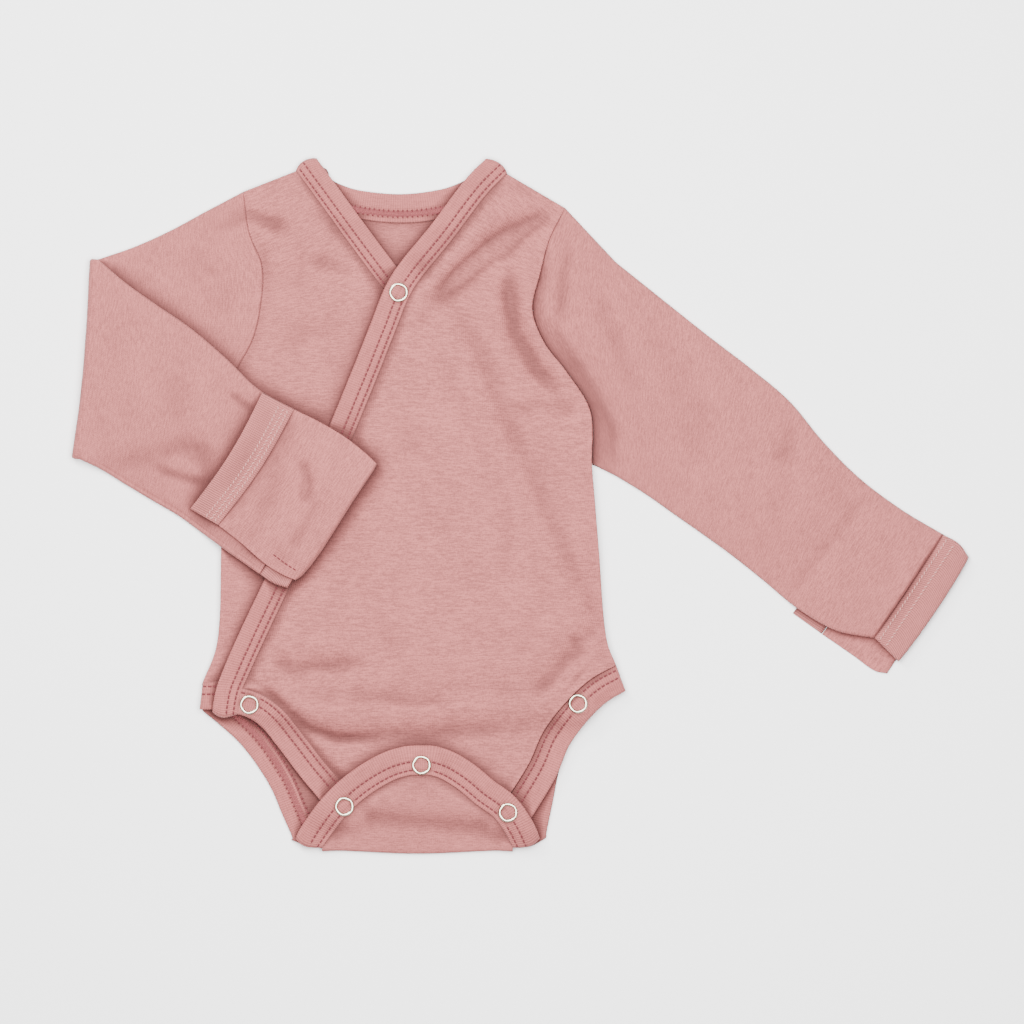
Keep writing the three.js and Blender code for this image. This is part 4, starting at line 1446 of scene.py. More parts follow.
    def looper(
        self, shop: Workshop, plan: np.ndarray, top: np.ndarray, distance: np.ndarray
    ) -> list[bpy.types.Object]:
        """The looper thread's mesh on the strip's inner side, between two rows of needle thread.

        Args:
            shop: the shared workshop.
            plan: the strip's plan.
            top: the strip's top.
            distance: each point's distance from the seam.

        Returns:
            The threads.
        """
        wanted = [np.full(len(plan), value) for value in self.loops]
        sides = [self.row_line(plan, top, distance, value) for value in wanted]
        length = min(arc(side)[-1] for side in sides)
        along = np.linspace(0, 1, int(length / 0.3))
        low, high = (along_line(side, along * arc(side)[-1]) for side in sides)
        phase = along * length * 2 * np.pi / 2.3
        webs = []
        for shift, start, reach in self.STRANDS:
            share = start + reach * (0.5 + 0.5 * np.sin(phase + shift))
            web = low + (high - low) * share[:, None]
            web[:, 2] += 0.15 + 0.12 * np.sin(2 * phase + shift)
            webs.append(web)
        needles = []
        count = int(length / 2.3)
        for side, other in ((low, high), (high, low)):
            centres = (np.arange(count) + 0.5) / count * (len(side) - 1)
            index = centres.astype(int)
            way = other[index] - side[index]
            way /= np.linalg.norm(way, axis=1, keepdims=True)
            offsets = np.array((-0.5, -0.35, 0.0, 0.35, 0.5))
            dash = side[index][:, None] + way[:, None] * offsets[None, :, None]
            dash[..., 2] += np.array((0.0, 0.2, 0.3, 0.2, 0.0))
            needles.append(dash)
        web = threads(f"{self.node}_loops", np.array(webs), 0.27)
        needle = threads(f"{self.node}_stitches", np.concatenate(needles), 0.34)
        return [shop.dress(web, LOOP_THREAD), shop.dress(needle, ROSE_THREAD)]


def sew_line(shop: Workshop, name: str, points: Line) -> None:
    """Sews one row of stitches over the pile as it lies.

    Args:
        shop: the shared workshop.
        name: the object's name.
        points: the row's corners in the plan.
    """
    corners = np.array(points, float)
    plan = along_line(corners, np.linspace(0, arc(corners)[-1], 40))
    line = with_height(plan, Levels(shop.pile.heights).at(plan) - 0.05)
    shop.dress(threads(name, stitch_row(line, 2.3, 1.6, 0.25), 0.32), ROSE_THREAD)


@dataclass
class Snap:
    """A snap fastener: its ring on the cloth and its closed stud between the layers.

    Args:
        name: which snap.
    """

    name: str

    PRONGS = 5

    def stud(self, shop: Workshop) -> None:
        """Builds the closed stud and socket, hidden between the layers.

        Args:
            shop: the shared workshop.
        """
        x, y = SNAPS[self.name]
        base = shop.pile.top(x, y, STUD_RADIUS) + 0.1
        profile = np.array([(1.2, 0), (3.1, 0), (3.5, 0.3), (3.5, 1.1), (3.1, STUD_HEIGHT), (1.2, STUD_HEIGHT)])
        self.turned(shop, f"snap_stud_{self.name}", profile, base, 32, 0.0)
        side = STUD_RADIUS
        corners = [[(x + dx, y + dy, base + STUD_HEIGHT) for dy in (-side, side)] for dx in (-side, side)]
        shop.pile.press(np.array(corners))

    def ring(self, shop: Workshop) -> None:
        """Builds the ring that shows.

        Args:
            shop: the shared workshop.
        """
        x, y = SNAPS[self.name]
        levels = Levels(shop.pile.heights)
        angle = np.linspace(0, 2 * np.pi, 24, endpoint=False)
        middle = 0.5 * (SNAP_INNER + SNAP_OUTER)
        circle = np.stack([x + middle * np.cos(angle), y + middle * np.sin(angle)], axis=1)
        base = float(levels.at(circle).mean()) - 0.15
        turn = np.linspace(0, 2 * np.pi, 20, endpoint=False)
        half = 0.5 * (SNAP_OUTER - SNAP_INNER)
        across, up = (np.sign(f) * np.abs(f) ** 0.95 for f in (np.cos(turn), np.sin(turn)))
        profile = np.stack([middle + half * across, SNAP_RISE * (0.4 + 0.8 * up)], axis=1)
        self.turned(shop, f"snap_ring_{self.name}", profile, base, 80, 0.14)
        for radius in (SNAP_INNER + 0.3, SNAP_OUTER - 0.3):
            rim = np.stack([x + radius * np.cos(angle), y + radius * np.sin(angle), 0 * angle + base + 1.0], axis=1)
            shop.pile.press(np.stack([rim, rim]))

    def turned(
        self, shop: Workshop, node: str, profile: np.ndarray, base: float, sides: int, prongs: float
    ) -> None:
        """A closed profile turned round the snap's axis.

        Args:
            shop: the shared workshop.
            node: the CAD node that it replaces.
            profile: radius and height of each point.
            base: height of the profile's foot.
            sides: points round the axis.
            prongs: how far the prongs' bends draw the inner edge in.
        """
        angle = np.linspace(0, 2 * np.pi, sides, endpoint=False)[:, None]
        radius = np.repeat(profile[None, :, 0], sides, axis=0)
        inner = (SNAP_OUTER - radius) / (SNAP_OUTER - SNAP_INNER)
        radius = radius - prongs * inner.clip(0, 1) * np.cos(self.PRONGS * angle)
        x, y = SNAPS[self.name]
        points = np.stack(
            [x + radius * np.cos(angle), y + radius * np.sin(angle), base + profile[None, :, 1] + 0 * radius], axis=-1
        )
        number = np.arange(points.size // 3).reshape(points.shape[:2])
        ahead, beside = np.roll(number, -1, axis=0), np.roll(number, -1, axis=1)
        both = np.roll(ahead, -1, axis=1)
        faces = np.stack([number, ahead, both, beside], axis=-1).reshape(-1, 4)
        flat = points.reshape(-1, 3)
        piece = make_object(f"{node}_metal", flat, faces, flat)
        shop.dress(piece, NICKEL, [node])


@dataclass
class Back:
    """The back, with its tail folded up over the front, and its bindings.

    Args:
        panel: the body of the back.
        neck: its neck binding.
        legs: its leg bindings, left and right.
        flap: the binding round the tail's flap.
    """

    panel: Panel
    neck: Binding
    legs: tuple[Binding, Binding]
    flap: Binding
    yoke_rows: int = 60
    fold_turns: int = 7

    def plan(self) -> np.ndarray:
        """The back's plan, whose first row follows the shoulders and the neck."""
        body = ruled(BACK_BODY, self.panel.pitch, shares_for(190, self.panel.pitch))
        columns = body.shape[1]
        line = self.top_line(body[0, 0], body[0, -1])
        top = along_line(line, np.linspace(0, 1, columns) * arc(line)[-1])
        shares = shares_for(190, self.panel.pitch)
        top = along_line(line, shares * arc(line)[-1])
        straight = body[self.yoke_rows]
        for i in range(self.yoke_rows):
            eased = top + (straight - top) * (i / self.yoke_rows)
            start, end = body[i, 0] - eased[0], body[i, -1] - eased[-1]
            body[i] = eased + start * (1 - shares[:, None]) + end * shares[:, None]
        legs = ruled(BACK_LEGS, self.panel.pitch, shares)
        return np.concatenate([body, legs[1:]])

    def neck_line(self) -> np.ndarray:
        """The neck's seam, from the left shoulder to the right one."""
        points = np.array([SHOULDER_LEFT, *BACK_NECK_DIP, SHOULDER_RIGHT])
        return smooth_line(points, [12] * (len(points) - 1))

    def top_line(self, left: np.ndarray, right: np.ndarray) -> np.ndarray:
        """The whole first row: a shoulder, the neck and the other shoulder."""
        return np.concatenate([left[None], self.neck_line(), right[None]])

    def lay(self, shop: Workshop) -> None:
        """Lays the back and its bindings, but not yet its flap.

        Args:
            shop: the shared workshop.
        """
        levels = shop.pile.levels(1, 1)
        self.body_plan = self.plan()
        legs = ruled(BACK_LEGS, self.panel.pitch, np.array([0.0, 1.0]))
        tops = [self.neck.build(shop, self.neck_line()[::-1], levels)[1]]
        tops.append(self.legs[0].build(shop, legs[:, 0], levels)[1])
        tops.append(self.legs[1].build(shop, legs[::-1, 1], levels)[1])
        shop.pile.press(with_height(self.body_plan, np.full(self.body_plan.shape[:2], CLOTH)))
        for top in tops:
            shop.pile.press(top)

    def fold(self, shop: Workshop) -> None:
        """Folds the tail up over the front, and builds the whole back.

        Args:
            shop: the shared workshop.
        """
        levels = shop.pile.levels(5, 3)
        shares = shares_for(190, self.panel.pitch)
        plan = ruled(FLAP, self.panel.pitch, shares)
        panel = Panel("back", FLAP, (), 0.7, self.panel.cut, 31, pins=(1, 1, 1, 1), waviness=0.4)
        level = levels.at(plan) + panel.rise(plan)
        edge = np.concatenate([plan[:, 0], plan[-1, 1:-1], plan[::-1, -1]])[::-1]
        binding, binding_top = self.flap.build(shop, edge, levels)
        tail = plan[0]
        axis = 0.5 * (CLOTH + level[0])
        turns = np.linspace(0, np.pi, self.fold_turns + 2)[1:-1, None]
        sides = {}
        for height in (0.0, CLOTH):
            radius = axis - height
            y = tail[:, 1] - (radius + 1.6 * np.sin(np.pi * shares) ** 2) * np.sin(turns)
            z = axis - radius * np.cos(turns)
            sides[height] = np.stack([np.broadcast_to(tail[:, 0], y.shape), y, z], axis=-1)
        flat = np.zeros(self.body_plan.shape[:2])
        outside = [with_height(self.body_plan, flat), sides[0.0], with_height(plan, level + CLOTH)]
        inside = [with_height(self.body_plan, flat + CLOTH), sides[CLOTH], with_height(plan, level)]
        whole = np.concatenate(outside)
        piece = wall("back_cloth", whole, np.concatenate(inside), self.cloth_of(whole))
        shop.dress(piece, JERSEY, ["back"])
        shop.pile.press(with_height(plan, level + CLOTH))
        shop.pile.press(binding_top)

    def cloth_of(self, grid: np.ndarray) -> np.ndarray:
        """Millimetres across and along the back, round its fold."""
        middle = grid.shape[1] // 2
        along = arc(grid[:, middle])
        cloth = np.zeros(grid.shape)
        cloth[..., 0] = grid[..., 0]
        cloth[..., 1] = along[:, None]
        return cloth


@dataclass
class Front:
    """One side of the wrap front with its bindings.

    Args:
        panel: the jersey panel.
        bindings: its bindings.
    """

    panel: Panel
    bindings: tuple[Binding, ...]

    def lay(self, shop: Workshop, plan: np.ndarray, edges: Sequence[np.ndarray], reach: float, softness: float) -> None:
        """Lays the panel and its bindings on the pile.

        Args:
            shop: the shared workshop.
            plan: the panel's plan.
            edges: the seam of each binding.
            reach: how far the cloth bridges.
            softness: how softly it comes down.
        """
        levels = shop.pile.levels(reach, softness)
        built = [binding.build(shop, edge, levels) for binding, edge in zip(self.bindings, edges)]
        plan = self.panel.tuck_in(plan)
        self.over, under = self.panel.surfaces(plan, levels)
        piece = wall(f"{self.panel.node}_cloth", self.over, under, plan_cloth(plan))
        shop.dress(piece, JERSEY, [self.panel.node])
        shop.pile.press(self.over)
        for _, top in built:
            shop.pile.press(top)


@dataclass
class Lens:
    """The flattened section of a sleeve: a bottom and a top wall that meet in round edges.

    Args:
        creases: the folds in its top.
        puff: its fullness.
        skin: one wall's thickness.
        seed: its own unevenness.
        seam: depth of the groove along its underarm seam.
    """

    creases: tuple[Crease, ...]
    puff: float
    skin: float
    seed: int

    EDGE = (0.0, 0.15, 0.5, 1.1, 1.8, 2.4, 3.0, 3.8)
    seam: float = 0.0

    @classmethod
    def shares(cls, width: float) -> np.ndarray:
        """Places across the sleeve, close together near its edges."""
        return shares_for(width, 1.9, cls.EDGE[1:])

    def thickness(self, plan: np.ndarray) -> np.ndarray:
        """Full thickness of the flattened sleeve."""
        left, right, _, _ = edge_distance(plan)
        bow = np.sqrt(np.sin(np.pi * np.clip(left / (left + right), 0, 1)).clip(0))
        x, y = plan[..., 0], plan[..., 1]
        lift = self.puff + sum((crease.height(x, y) for crease in self.creases), np.zeros(x.shape))
        lift += 0.8 * undulation(x, y, self.seed)
        groove = self.seam * np.exp(-(((left - 2.4) / 0.5) ** 2))
        return 2 * self.skin + SLACK + bow * np.maximum(lift, 0) - groove

    def rings(self, plan: np.ndarray, thickness: np.ndarray) -> tuple[np.ndarray, np.ndarray]:
        """Outer and inner points round each section, with heights from the sleeve's underside.

        Args:
            plan: its plan.
            thickness: its full thickness at each plan point.

        Returns:
            Points by section and place round it: the outer ones and the inner ones.
        """
        left, right, _, _ = edge_distance(plan)
        width = left + right
        near = np.minimum(left, right)
        middle = 0.5 * thickness
        round_off = np.sqrt(1 - (1 - np.clip(near / middle, 0, 1)) ** 2)
        outer_half = middle * round_off
        side = (plan[:, -1:] - plan[:, :1]) / width[:, :1, None]
        moved = np.where(left < right, 1.0, -1.0) * self.skin * (1 - 2 * near / width)
        inner_plan = plan + side * moved[..., None]
        inner_full = np.maximum(middle - self.skin, 0.5 * SLACK)
        inner_round = np.sqrt(1 - (1 - np.clip(near / inner_full, 0, 1)) ** 2)
        inner_half = np.minimum(inner_full * inner_round, np.maximum(outer_half - 0.6 * self.skin, 0))
        return self.ring(plan, middle, outer_half), self.ring(inner_plan, middle, inner_half)

    @staticmethod
    def ring(plan: np.ndarray, middle: np.ndarray, half: np.ndarray) -> np.ndarray:
        """Points along the bottom and back along the top of each section."""
        bottom = with_height(plan, middle - half)
        top = with_height(plan, middle + half)
        return np.concatenate([bottom, top[:, -2:0:-1]], axis=1)

    @staticmethod
    def round_index(columns: int) -> np.ndarray:
        """The plan's column for each place round a section."""
        return np.concatenate([np.arange(columns), np.arange(columns - 2, 0, -1)])

    def cloth(self, plan: np.ndarray) -> np.ndarray:
        """Millimetres round and along the sleeve."""
        left, right, _, _ = edge_distance(plan)
        middle = plan.shape[1] // 2
        along = np.repeat(arc(plan[:, middle])[:, None], plan.shape[1], axis=1)
        index = self.round_index(plan.shape[1])
        bottom = np.arange(len(index)) < plan.shape[1]
        across = left[:, index]
        across = np.where(bottom, across, 2 * (left + right)[:, :1] - across)
        return np.stack([across, along[:, index], np.full(across.shape, plan[0, 0, 0])], axis=-1)


def armhole(side: int, out: float, shares: np.ndarray) -> np.ndarray:
    """The armhole's points from the underarm to the shoulder, moved out.

    Args:
        side: 0 for the left armhole, 1 for the right one.
        out: -1 where the sleeve is on the left of that direction, 1 on the right.
        shares: places along it.

    Returns:
        Plan points.
    """
    table = BACK_BODY[:ARMHOLE_SECTIONS]
    line = smooth_line(grid_of(table)[:, side], steps_for(table, 1.5))[::-1]
    line = line + out * 0.04 * outward(line)
    return along_line(line, shares * arc(line)[-1])


def joined_rows(first: np.ndarray, rest: np.ndarray, pitch: float) -> np.ndarray:
    """Rows of a sleeve from the armhole to its first section, then the rest.

    Args:
        first: the armhole's row.
        rest: the ruled rows.
        pitch: distance from row to row.

    Returns:
        All the rows.
    """
    span = np.linalg.norm(rest[0] - first, axis=1).max()
    shares = np.linspace(0, 1, int(np.ceil(span / pitch)) + 1)[:-1]
    lead = first[None] + (rest[0] - first)[None] * shares[:, None, None]
    return np.concatenate([lead, rest])


def with_end_rows(plan: np.ndarray, start: bool, end: bool) -> np.ndarray:
    """Adds close rows at a piece's sewn ends, where its cloth turns down into the seam.

    Args:
        plan: its plan.
        start: whether the first end is sewn.
        end: whether the last end is.

    Returns:
        The plan with the added rows.
    """
    near = np.array((0.12, 0.3, 0.6, 1.0))[:, None, None]
    if start:
        way = plan[1] - plan[0]
        unit = way / np.linalg.norm(way, axis=1, keepdims=True).max()
        added = plan[0] + unit[None] * near
        plan = np.concatenate([plan[:1], added, plan[1:] if np.linalg.norm(way, axis=1).max() > 1.1 else plan[2:]])
    if end:
        return with_end_rows(plan[::-1], True, False)[::-1]
    return plan


def meet_front(plan: np.ndarray, thickness: np.ndarray, top: np.ndarray, drop: np.ndarray) -> np.ndarray:
    """Brings a sleeve's thickness at the armhole to the height of the front beside it.

    Args:
        plan: the sleeve's plan.
        thickness: its thickness.
        top: the front's height along the armhole.
        drop: how far below that height the sleeve starts.

    Returns:
        The new thickness.
    """
    distance = edge_distance(plan)[2]
    wanted = np.maximum(top - drop, 2 * CLOTH + 0.3)
    weight = np.exp(-((distance / 13.0) ** 2))
    thickness = thickness + (wanted[None] - thickness) * weight
    return thickness - SEAM_DIP * np.exp(-((distance / 0.45) ** 2))


@dataclass
class Cuff:
    """A rib band at a sleeve's end.

    Args:
        node: the CAD node that it replaces.
        table: its sections.
        lens: its section.
        cut: its flat size, which is not used.
        rows: where its pale stitches lie, in millimetres from the seam.
        bow: how far the middle of its end stands out.
    """

    node: str
    table: Table
    lens: Lens
    cut: Cut
    rows: tuple[float, ...]
    bow: float = 0.0

    def build(self, shop: Workshop, shares: np.ndarray, levels: Levels) -> np.ndarray:
        """Builds the band.

        Args:
            shop: the shared workshop.
            shares: places across the sleeve.
            levels: what it lies on.

        Returns:
            Its top.
        """
        plan = ruled(self.table, 1.15, shares)
        side = plan[-1, -1] - plan[-1, 0]
        out = np.array([side[1], -side[0]]) / np.linalg.norm(side)
        share_along = np.linspace(0, 1, len(plan))[:, None, None] ** 2
        plan = plan + out * (self.bow * np.sin(np.pi * shares) ** 0.6)[None, :, None] * share_along
        plan = with_end_rows(plan, True, True)
        thickness = self.lens.thickness(plan)
        first, last = edge_distance(plan)[2:]
        thickness = thickness - 1.0 * np.exp(-((first / 0.6) ** 2)) - 0.8 * np.exp(-((last / 0.5) ** 2))
        level = levels.at(plan)
        outer, inner = self.lens.rings(plan, thickness)
        lift = level[:, self.lens.round_index(plan.shape[1])]
        outer[..., 2] += lift
        inner[..., 2] += lift
        cloth = self.lens.cloth(plan)
        piece = tube(f"{self.node}_cloth", outer, inner, cloth)
        shop.dress(piece, CUFF_RIB, [self.node])
        top = with_height(plan, level + thickness)
        if self.rows:
            sewn = pale_rows(f"{self.node}_stitches", top[:, 4:-4], self.rows, False)
            shop.dress(sewn, PALE_THREAD)
        return top


def pale_rows(name: str, top: np.ndarray, rows: Sequence[float], backwards: bool) -> bpy.types.Object:
    """Rows of pale cover stitches across a band.

    Args:
        name: the object's name.
        top: the band's top, whose rows run along the sleeve.
        rows: each row's distance from the seam.
        backwards: whether the seam is at the last row.

    Returns:
        The stitches.
    """
    grid = top[::-1] if backwards else top
    distance = edge_distance(grid)[2]
    paths = []
    for k, wanted in enumerate(rows):
        line = np.array(
            [[np.interp(wanted, distance[:, j], grid[:, j, c]) for c in range(3)] for j in range(grid.shape[1])]
        )
        straight = stitch_row(line, 2.1, 1.5, 0.24)
        side = outward(line[:, :2]).mean(axis=0)
        slant = np.linspace(-0.45, 0.45, straight.shape[1]) * (1 if k % 2 else -1)
        straight[..., :2] += side * slant[None, :, None]
        paths.append(straight)
    return threads(name, np.concatenate(paths), 0.3)


@dataclass
class StraightSleeve:
    """The right sleeve, which lies straight, with its cuff and its folded-back mitten.

    Args:
        lens: its section.
        cut: its flat size, which is not used.
        cuff: its rib band.
        mitten: the mitten folded back under the cuff.
        mitten_band: the mitten's rib band.
        drop: how far it starts below the front at the armhole.
    """

    lens: Lens
    cut: Cut
    cuff: Cuff
    mitten: Panel
    mitten_band: Panel
    drop: float

    def lay(self, shop: Workshop, front_top: Levels) -> None:
        """Lays the sleeve on the table.

        Args:
            shop: the shared workshop.
            front_top: the height of the front.
        """
        table = Pile()
        bare = table.levels(1, 1)
        for panel, finish, slot in (
            (self.mitten, JERSEY, Slot.JERSEY),
            (self.mitten_band, CUFF_RIB, Slot.CUFF_RIB),
        ):
            plan = panel.plan()
            over, under = panel.surfaces(plan, bare)
            piece = wall(f"{panel.node}_cloth", over, under, plan_cloth(plan))
            shop.dress(piece, finish, [panel.node])
            table.press(over)
        levels = table.levels(3, 2)
        shares = Lens.shares(90)
        hole = armhole(1, 1.0, shares)
        plan = with_end_rows(joined_rows(hole, ruled(RIGHT_SLEEVE, 1.8, shares), 1.8), True, True)
        thickness = self.lens.thickness(plan)
        drop = self.drop * (1 - ease((shares - 0.62) / 0.3))
        inward = hole - 1.6 * outward(hole)
        thickness = meet_front(plan, thickness, front_top.at(inward), drop)
        last = edge_distance(plan)[3]
        thickness = thickness - 1.3 * np.exp(-((last / 0.7) ** 2))
        outer, inner = self.lens.rings(plan, thickness)
        lift = levels.at(plan)[:, Lens.round_index(plan.shape[1])]
        outer[..., 2] += lift
        inner[..., 2] += lift
        shop.pile.press(with_height(plan, levels.at(plan) + thickness))
        piece = tube("sleeve_right_cloth", outer, inner, self.lens.cloth(plan))
        shop.dress(piece, JERSEY, ["sleeve_right"])
        shop.pile.press(self.cuff.build(shop, shares, levels))


@dataclass
class FoldedSleeve:
    """The left sleeve, folded over at the elbow, with its mitten closed over the hand.

    Args:
        upper: section of the upper sleeve.
        lower: section of the forearm.
        cut: its flat size, which is not used.
        cuff: its rib band.
        mitten_cut: the mitten's flat size, which is not used.
        band_cut: the flat size of the mitten's band, which is not used.
        turns: rows round the elbow's fold.
    """

    upper: Lens
    lower: Lens
    cut: Cut
    cuff: Cuff
    mitten_cut: Cut
    band_cut: Cut
    turns: int = 9

    def lay(self, shop: Workshop, front_top: Levels) -> None:
        """Lays the sleeve on the table, turns it at the elbow and lays the forearm on the front.

        Args:
            shop: the shared workshop.
            front_top: the height of the front.
        """
        shares = Lens.shares(95)
        hole = armhole(0, -1.0, shares)
        plan = with_end_rows(joined_rows(hole, ruled(LEFT_UPPER_SLEEVE, 1.9, shares), 1.9), True, False)
        thickness = self.upper.thickness(plan)
        inward = hole + 1.6 * outward(hole)
        thickness = meet_front(plan, thickness, front_top.at(inward), 0.0 * shares)
        shop.pile.press(with_height(plan, thickness))
        forearm = with_end_rows(ruled(LEFT_FOREARM, 1.8, shares), False, True)
        full = self.lower.thickness(forearm)
        near_elbow = np.exp(-((edge_distance(forearm)[2] / 12.0) ** 2))
        full = full + (thickness[-1][None] - full) * near_elbow
        levels = shop.pile.levels(5, 4)
        level = levels.at(forearm)
        index = Lens.round_index(forearm.shape[1])
        elbow = forearm[0, -1] - forearm[0, 0]
        out = np.array([-elbow[1], elbow[0]]) / np.linalg.norm(elbow)
        axis = (0.5 * (full[0] + level[0]))[index]
        bow = (1.2 - 2.2 * np.sin(np.pi * shares) ** 0.8)[index]
        sides = []
        for flat, over in zip(self.upper.rings(plan, thickness), self.lower.rings(forearm, full)):
            start = over[0]
            angle = np.linspace(0, np.pi, self.turns + 2)[1:-1, None]
            radius = axis - start[:, 2]
            reach = np.maximum(radius + bow, 0.2)
            turning = np.empty((self.turns, *start.shape))
            turning[..., :2] = start[None, :, :2] + out * (reach * np.sin(angle))[..., None]
            turning[..., 2] = axis - radius * np.cos(angle)
            laid = over.copy()
            laid[..., 2] = (level + full)[:, index] - over[..., 2]
            sides.append(np.concatenate([flat, turning, laid]))
        cloth = self.cloth_of(sides[0], plan)
        piece = tube("sleeve_left_cloth", sides[0], sides[1], cloth)
        shop.dress(piece, JERSEY, ["sleeve_left"])
        floor = Levels(np.where(shop.pile.heights > 0, shop.pile.heights + GAP, 0.0))
        cuff_top = self.cuff.build(shop, shares, shop.pile.levels(3, 3))
        shop.pile.press(with_height(forearm, level + full))
        shop.pile.press(cuff_top)
        self.close_mitten(shop, floor)

    def cloth_of(self, rings: np.ndarray, plan: np.ndarray) -> np.ndarray:
        """Millimetres round and along the sleeve, round its elbow."""
        round_cloth = self.upper.cloth(plan)
        cloth = np.zeros(rings.shape)
        cloth[..., 0] = round_cloth[len(plan) // 2, :, 0]
        cloth[..., 1] = arc(rings[:, rings.shape[1] // 4])[:, None]
        cloth[..., 2] = 300.0
        return cloth

    def close_mitten(self, shop: Workshop, floor: Levels) -> None:
        """Lays the mitten and its band over the sleeve's end.

        Args:
            shop: the shared workshop.
            floor: what lies below the sleeve's end.
        """
        levels = self.levels_for_mitten(shop)
        shares = shares_for(68, 1.5)
        plan = ruled(LEFT_MITTEN, 1.5, shares)
        end = plan[-1, -1] - plan[-1, 0]
        out = np.array([end[1], -end[0]]) / np.linalg.norm(end)
        start_near = edge_distance(plan)[2]
        bow = BAND_BOW * np.sin(np.pi * shares)
        plan = plan + out * (bow[None] * np.exp(-((start_near / 16.0) ** 2)))[..., None]
        panel = Panel(
            "mitten_left", LEFT_MITTEN, MITTEN_CREASES, 1.3, self.mitten_cut, 41,
            pins=(1, 1, 1, 0.2), turned_end=True,
        )
        over, under = panel.surfaces(plan, levels)
        bottom = floor.at(plan[-1]) + 0.1
        angle = np.linspace(0, np.pi, 10)[1:, None]
        bulge = np.interp(shares, *np.transpose(MITTEN_END))
        turned = []
        for inset in (0.0, CLOTH):
            middle = 0.5 * (over[-1, :, 2] + bottom)
            tall = middle - bottom - inset
            reach = np.maximum(bulge - inset * 0.9, 0.1) * np.sin(angle)
            xy = plan[-1][None] + out * reach[..., None]
            z = middle + tall * np.cos(angle)
            turned.append(np.concatenate([xy, z[..., None]], axis=-1))
        over = np.concatenate([over, turned[0]])
        under = np.concatenate([under, turned[1]])
        cloth = np.zeros(over.shape)
        cloth[..., 0] = (shares * 68)[None]
        cloth[..., 1] = arc(over[:, over.shape[1] // 2])[:, None]
        cloth[..., 2] = 90.0
        piece = wall("mitten_left_cloth", over, under, cloth)
        shop.dress(piece, JERSEY, ["mitten_left"])
        self.lay_band(shop, levels)
        shop.pile.press(over)
        sew_line(shop, "mitten_left_stitches", ((-119.8, -23.6), (-113.5, -28.4), (-107.9, -31.9)))

    @staticmethod
    def levels_for_mitten(shop: Workshop) -> Levels:
        """The level of the mitten, which bridges far only beyond the sleeve's end."""
        wide, close = shop.pile.levels(9, 2).heights, shop.pile.levels(2.5, 1.5).heights
        start, end = np.array(LEFT_MITTEN[-1][:2]), np.array(LEFT_MITTEN[-1][2:])
        way = (end - start) / np.linalg.norm(end - start)
        row, column = np.indices(wide.shape) * Pile.PITCH
        x, y = column - Pile.HALF[0] - start[0], row - Pile.HALF[1] - start[1]
        beyond = x * way[1] - y * way[0]
        along = (x * way[0] + y * way[1]) / np.linalg.norm(end - start)
        weight = ease((beyond + 9.0) / 6.0) * ease((along + 0.02) / 0.08)
        return Levels(close + (wide - close) * weight)

    def lay_band(self, shop: Workshop, levels: Levels) -> None:
        """Lays the rib band at the mitten's open edge.

        Args:
            shop: the shared workshop.
            levels: what it lies on.
        """
        shares = shares_for(67, 1.1)
        plan = with_end_rows(ruled(LEFT_MITTEN_BAND, 1.15, shares), True, True)
        side = plan[0, -1] - plan[0, 0]
        out = np.array([side[1], -side[0]]) / np.linalg.norm(side)
        plan = plan + out * (BAND_BOW * np.sin(np.pi * shares))[None, :, None]
        left, right, first, last = edge_distance(plan)
        rise = 0.6 * ease(shares / 0.2)[None] + 3.2 * np.exp(-((first / 6.0) ** 2)) * np.sin(np.pi * shares)[None]
        rise = rise * (1 - 0.9 * np.exp(-((last / 2.0) ** 2)))
        nearest = np.minimum(np.minimum(left, right), np.minimum(first, last))
        half = 0.5 * HEM_WALL * rounding(nearest, 0.5 * HEM_WALL)
        middle = levels.at(plan) + 0.5 * HEM_WALL + rise
        over, under = with_height(plan, middle + half), with_height(plan, middle - half)
        piece = wall("mitten_band_left_cloth", over, under, plan_cloth(plan))
        shop.dress(piece, CUFF_RIB, ["mitten_band_left"])
        shop.pile.press(over)
        sewn = pale_rows("mitten_band_left_stitches", over[:, 2:-2], (2.4, 4.6, 7.2), True)
        shop.dress(sewn, PALE_THREAD)


